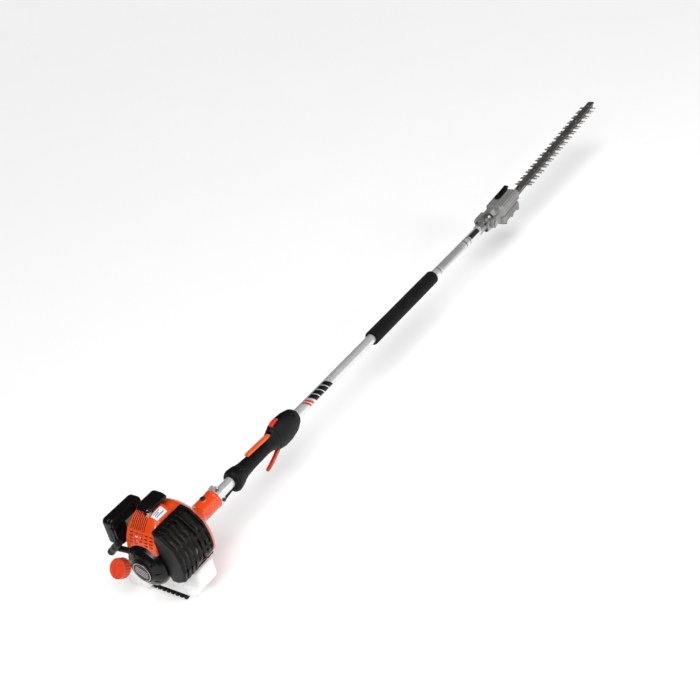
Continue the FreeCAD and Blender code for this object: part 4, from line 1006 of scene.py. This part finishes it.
def lower_case_field(x, y, z):
    d = box(x, y, z, 64, 168, -28.5, 28.5, -41, -16.8, 7)
    d = np.maximum(d, z + 16.8)
    level = np.exp(-((z + 22) / 1.4) ** 2) + np.exp(-((z + 30) / 1.6) ** 2)
    d = d + 1.7 * level * case_side(x, y, 72, 23)
    rib = box(nearest(x, 71.5, 12, 8), y, z, -1.6, 1.6, -22, 22, -45.9, -36, 1.2)
    d = smin(d, rib, 1.8)
    d = np.maximum(d, -box(x, y, z, 72.5, 180, -18.2, 18.2, -23.4, -10, 0.8))
    for sx in (74, 118, 160):
        for sy in (-23.5, 23.5):
            d = smin(d, rod(x, y, z, (sx, sy, -38), (sx, sy, -40.3), 5.6, 0.8), 1.5)
            d = cut(d, rod(x, y, z, (sx, sy, -52), (sx, sy, -40.2), 4.4, 0.3), 0.3)
    return d


skin("lower_case_shell", lower_case_field, (62, -31, -47), (170, 31, -16), step=0.95, body="head",
     material=cast, stands_for=["gear_case_cover"], place=HEAD)


def tilt_handle_field(x, y, z):
    bar = poly(x, z, [(100, 20.8), (100, 24), (105, 29), (169, 29), (174, 24), (174, 20.8)])
    d = smax(bar, abs(y - 9) - 6, 1.5)
    d = smin(d, box(x, y, z, 108, 164, 1, 17, 18.7, 26, 2.5), 2)
    d = cut(d, box(nearest(x, 116, 8.4, 6), y, z, -2.4, 2.4, -1, 19, 26.2, 32, 1.2), 1.0)
    return cut(d, box(x, y, z, 112, 162, 6.8, 11.2, 24, 32, 1), 0.8)


skin("tilt_handle", tilt_handle_field, (99, 0, 18), (175, 18, 30), step=0.7, body="head", material=black,
     stands_for=["adjusting_handle"], place=HEAD)

BLADE_BODY, REACH, TOOTH_PITCH, FIRST_TOOTH, TIP = 11.0, 28.0, 38.6, 266.0, 845.0
TOOTH_FOOT, TOOTH_CREST = 8.0, 3.2
BLADE_HALF = 1.2                    # half the thickness of a blade
FIRST_BOLT, BOLT_PITCH = 232.0, 116.0


def blade_field(first, count, top):
    """Toothed blade with its crank eye and bolt slots; top is its upper face."""
    edge = [(130, BLADE_BODY), (FIRST_TOOTH - 26, BLADE_BODY)]
    for k in range(count):
        x = first + TOOTH_PITCH * k
        edge += [(x - TOOTH_FOOT, BLADE_BODY), (x - TOOTH_CREST, REACH), (x + TOOTH_CREST, REACH),
                 (x + TOOTH_FOOT, BLADE_BODY)]
    edge += [(TIP - 15, BLADE_BODY), (TIP - 11, 8)]
    outline = [(float(a), float(b)) for a, b in edge + [(a, -b) for a, b in reversed(edge)]]

    def field(x, y, z):
        plan = poly(x, y, outline)
        plan = np.minimum(plan, box(x, y, 0, CRANK_X - 27.2, CRANK_X + 27.2, -17.6, 17.6, -9, 9, 8.9))
        flat = abs(z - (top - BLADE_HALF)) - BLADE_HALF
        ground = (plan + (z - (top - 1.9)) * 0.9) * 0.74
        ground = np.where(abs(y) > 12, ground, plan)
        d = smax(np.maximum(plan, ground), flat, 0.35)
        d = np.maximum(d, -box(x, y, 0, CRANK_X - 22.8, CRANK_X + 22.8, -13.2, 13.2, -9, 9, 8.9))
        slot = box(nearest(x, FIRST_BOLT, BOLT_PITCH, 6), y, 0, -12.7, 12.7, -3, 3, -9, 9, 2.9)
        return np.maximum(d, -slot)

    return field


for name, first, count, top in (("upper_blade", FIRST_TOOTH, 15, -17.5),
                                ("lower_blade", FIRST_TOOTH + TOOTH_PITCH / 2, 14, -20.2)):
    skin(name + "_ground", blade_field(first, count, top), (82, -28.5, top - 2.5),
         (836, 28.5, top + 0.1), step=(0.95, 0.7, 0.48), body=name, material=blade_metal,
         stands_for=[name], place=HEAD)


# ---- carried-over CAD nodes ----
def dress(names, material, bevel=0.0):
    """Give CAD nodes a finish and, where asked, softened edges."""
    for node in names:
        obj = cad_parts[node]
        obj.data.materials.clear()
        obj.data.materials.append(material)
        if bevel:
            weld = obj.modifiers.new("weld", "WELD")
            weld.merge_threshold = 1e-6
            edge = obj.modifiers.new("bevel", "BEVEL")
            edge.width = bevel * MM
            edge.segments = 2
            edge.limit_method = "ANGLE"
            edge.angle_limit = math.radians(42)
            edge.use_clamp_overlap = True
            even = obj.modifiers.new("normals", "WEIGHTED_NORMAL")
            even.keep_sharp = False


dress(["outer_tube"], tube_metal)
dress(["clamp_ring"], tube_metal, 0.5)
dress(["clamp_screws", "collar_bolts", "case_screws", "handle_screws"], black_bolt, 0.35)
dress(["pivot_housing"], cast_bright, 0.6)
dress(["pivot_pin", "trigger_pin", "bar_bolts"], zinc, 0.3)
dress(["guide_bar"], dark_steel, 0.4)
dress(["choke_lever"], black, 0.6)
dress(["carburetor"], core, 0.5)
dress(["air_filter_base"], black, 0.5)
dress(["muffler"], exhaust, 0.6)
dress(["spark_plug"], ceramic, 0.3)
dress(["ignition_coil"], copper, 0.4)
dress(["primer_bulb"], bulb)
dress(["air_filter_element"], filter_foam)
dress(["shaft_bushings"], bushing)
dress(["throttle_cable"], cable_black)
dress(["crankcase_front", "crankcase_rear"], core, 0.4)
# painted shade: the cylinder takes the dark muffler finish so that it shows dark through the cover's slots
dress(["cylinder"], exhaust, 0.4)
dress(["piston", "flywheel", "starter_pulley"], cast_bright, 0.3)
dress(["piston_pin", "connecting_rod", "crankshaft", "crank_bearings", "clutch_shoes", "clutch_drum"], steel)
dress(["drive_shaft", "input_pinion", "pivot_gear", "output_shaft", "crank_gear"], steel)


# ---- floor and light ----
floor_mesh = bpy.data.meshes.new("floor")
floor_corners = [(-12, -12, 0), (14, -12, 0), (14, 12, 0), (-12, 12, 0)]
floor_mesh.from_pydata(floor_corners, [], [(0, 1, 2, 3)])
floor = bpy.data.objects.new("floor", floor_mesh)
bpy.context.collection.objects.link(floor)
pale = finish_graph("pale_floor", (0.88, 0.88, 0.88), (0.75, 0.9), vary=0.01, grain=40.0, depth=0.02,
                    blotch=0.8, Emission_Strength=0.3)
pale.shader.inputs["Emission Color"].default_value = (1.0, 1.0, 1.0, 1.0)
floor_mesh.materials.append(pale.mat)

world = bpy.data.worlds.new("studio")
world.use_nodes = True
sky = world.node_tree
sky_dir = sky.nodes.new("ShaderNodeTexCoord").outputs["Generated"]
sky_split = sky.nodes.new("ShaderNodeSeparateXYZ")
sky.links.new(sky_dir, sky_split.inputs[0])
sky_ramp = sky.nodes.new("ShaderNodeMapRange")
for key, number in (("From Min", 0.05), ("From Max", 0.75), ("To Min", 0.42), ("To Max", 0.8)):
    sky_ramp.inputs[key].default_value = number            # brighter overhead than at the horizon
sky.links.new(sky_split.outputs["Z"], sky_ramp.inputs["Value"])
sky.links.new(sky_ramp.outputs[0], sky.nodes["Background"].inputs["Strength"])
bpy.context.scene.world = world

AIM = Vector((0.6, 0, 0.1))        # a point on the pole that every lamp faces


def lamp(name, kind, place, power, **settings):
    data = bpy.data.lights.new(name, kind)
    data.energy = power
    for key, value in settings.items():
        setattr(data, key, value)
    light = bpy.data.objects.new(name, data)
    bpy.context.collection.objects.link(light)
    light.location = place
    light.rotation_euler = (AIM - Vector(place)).to_track_quat("-Z", "Y").to_euler()


lamp("sun", "SUN", (-0.8, -1.2, 4.0), 2.2, angle=math.radians(50))
lamp("key", "AREA", (-1.6, -0.9, 2.0), 16.0, size=0.9)
lamp("side", "AREA", (1.0, -2.6, 1.2), 28.0, size=1.0)
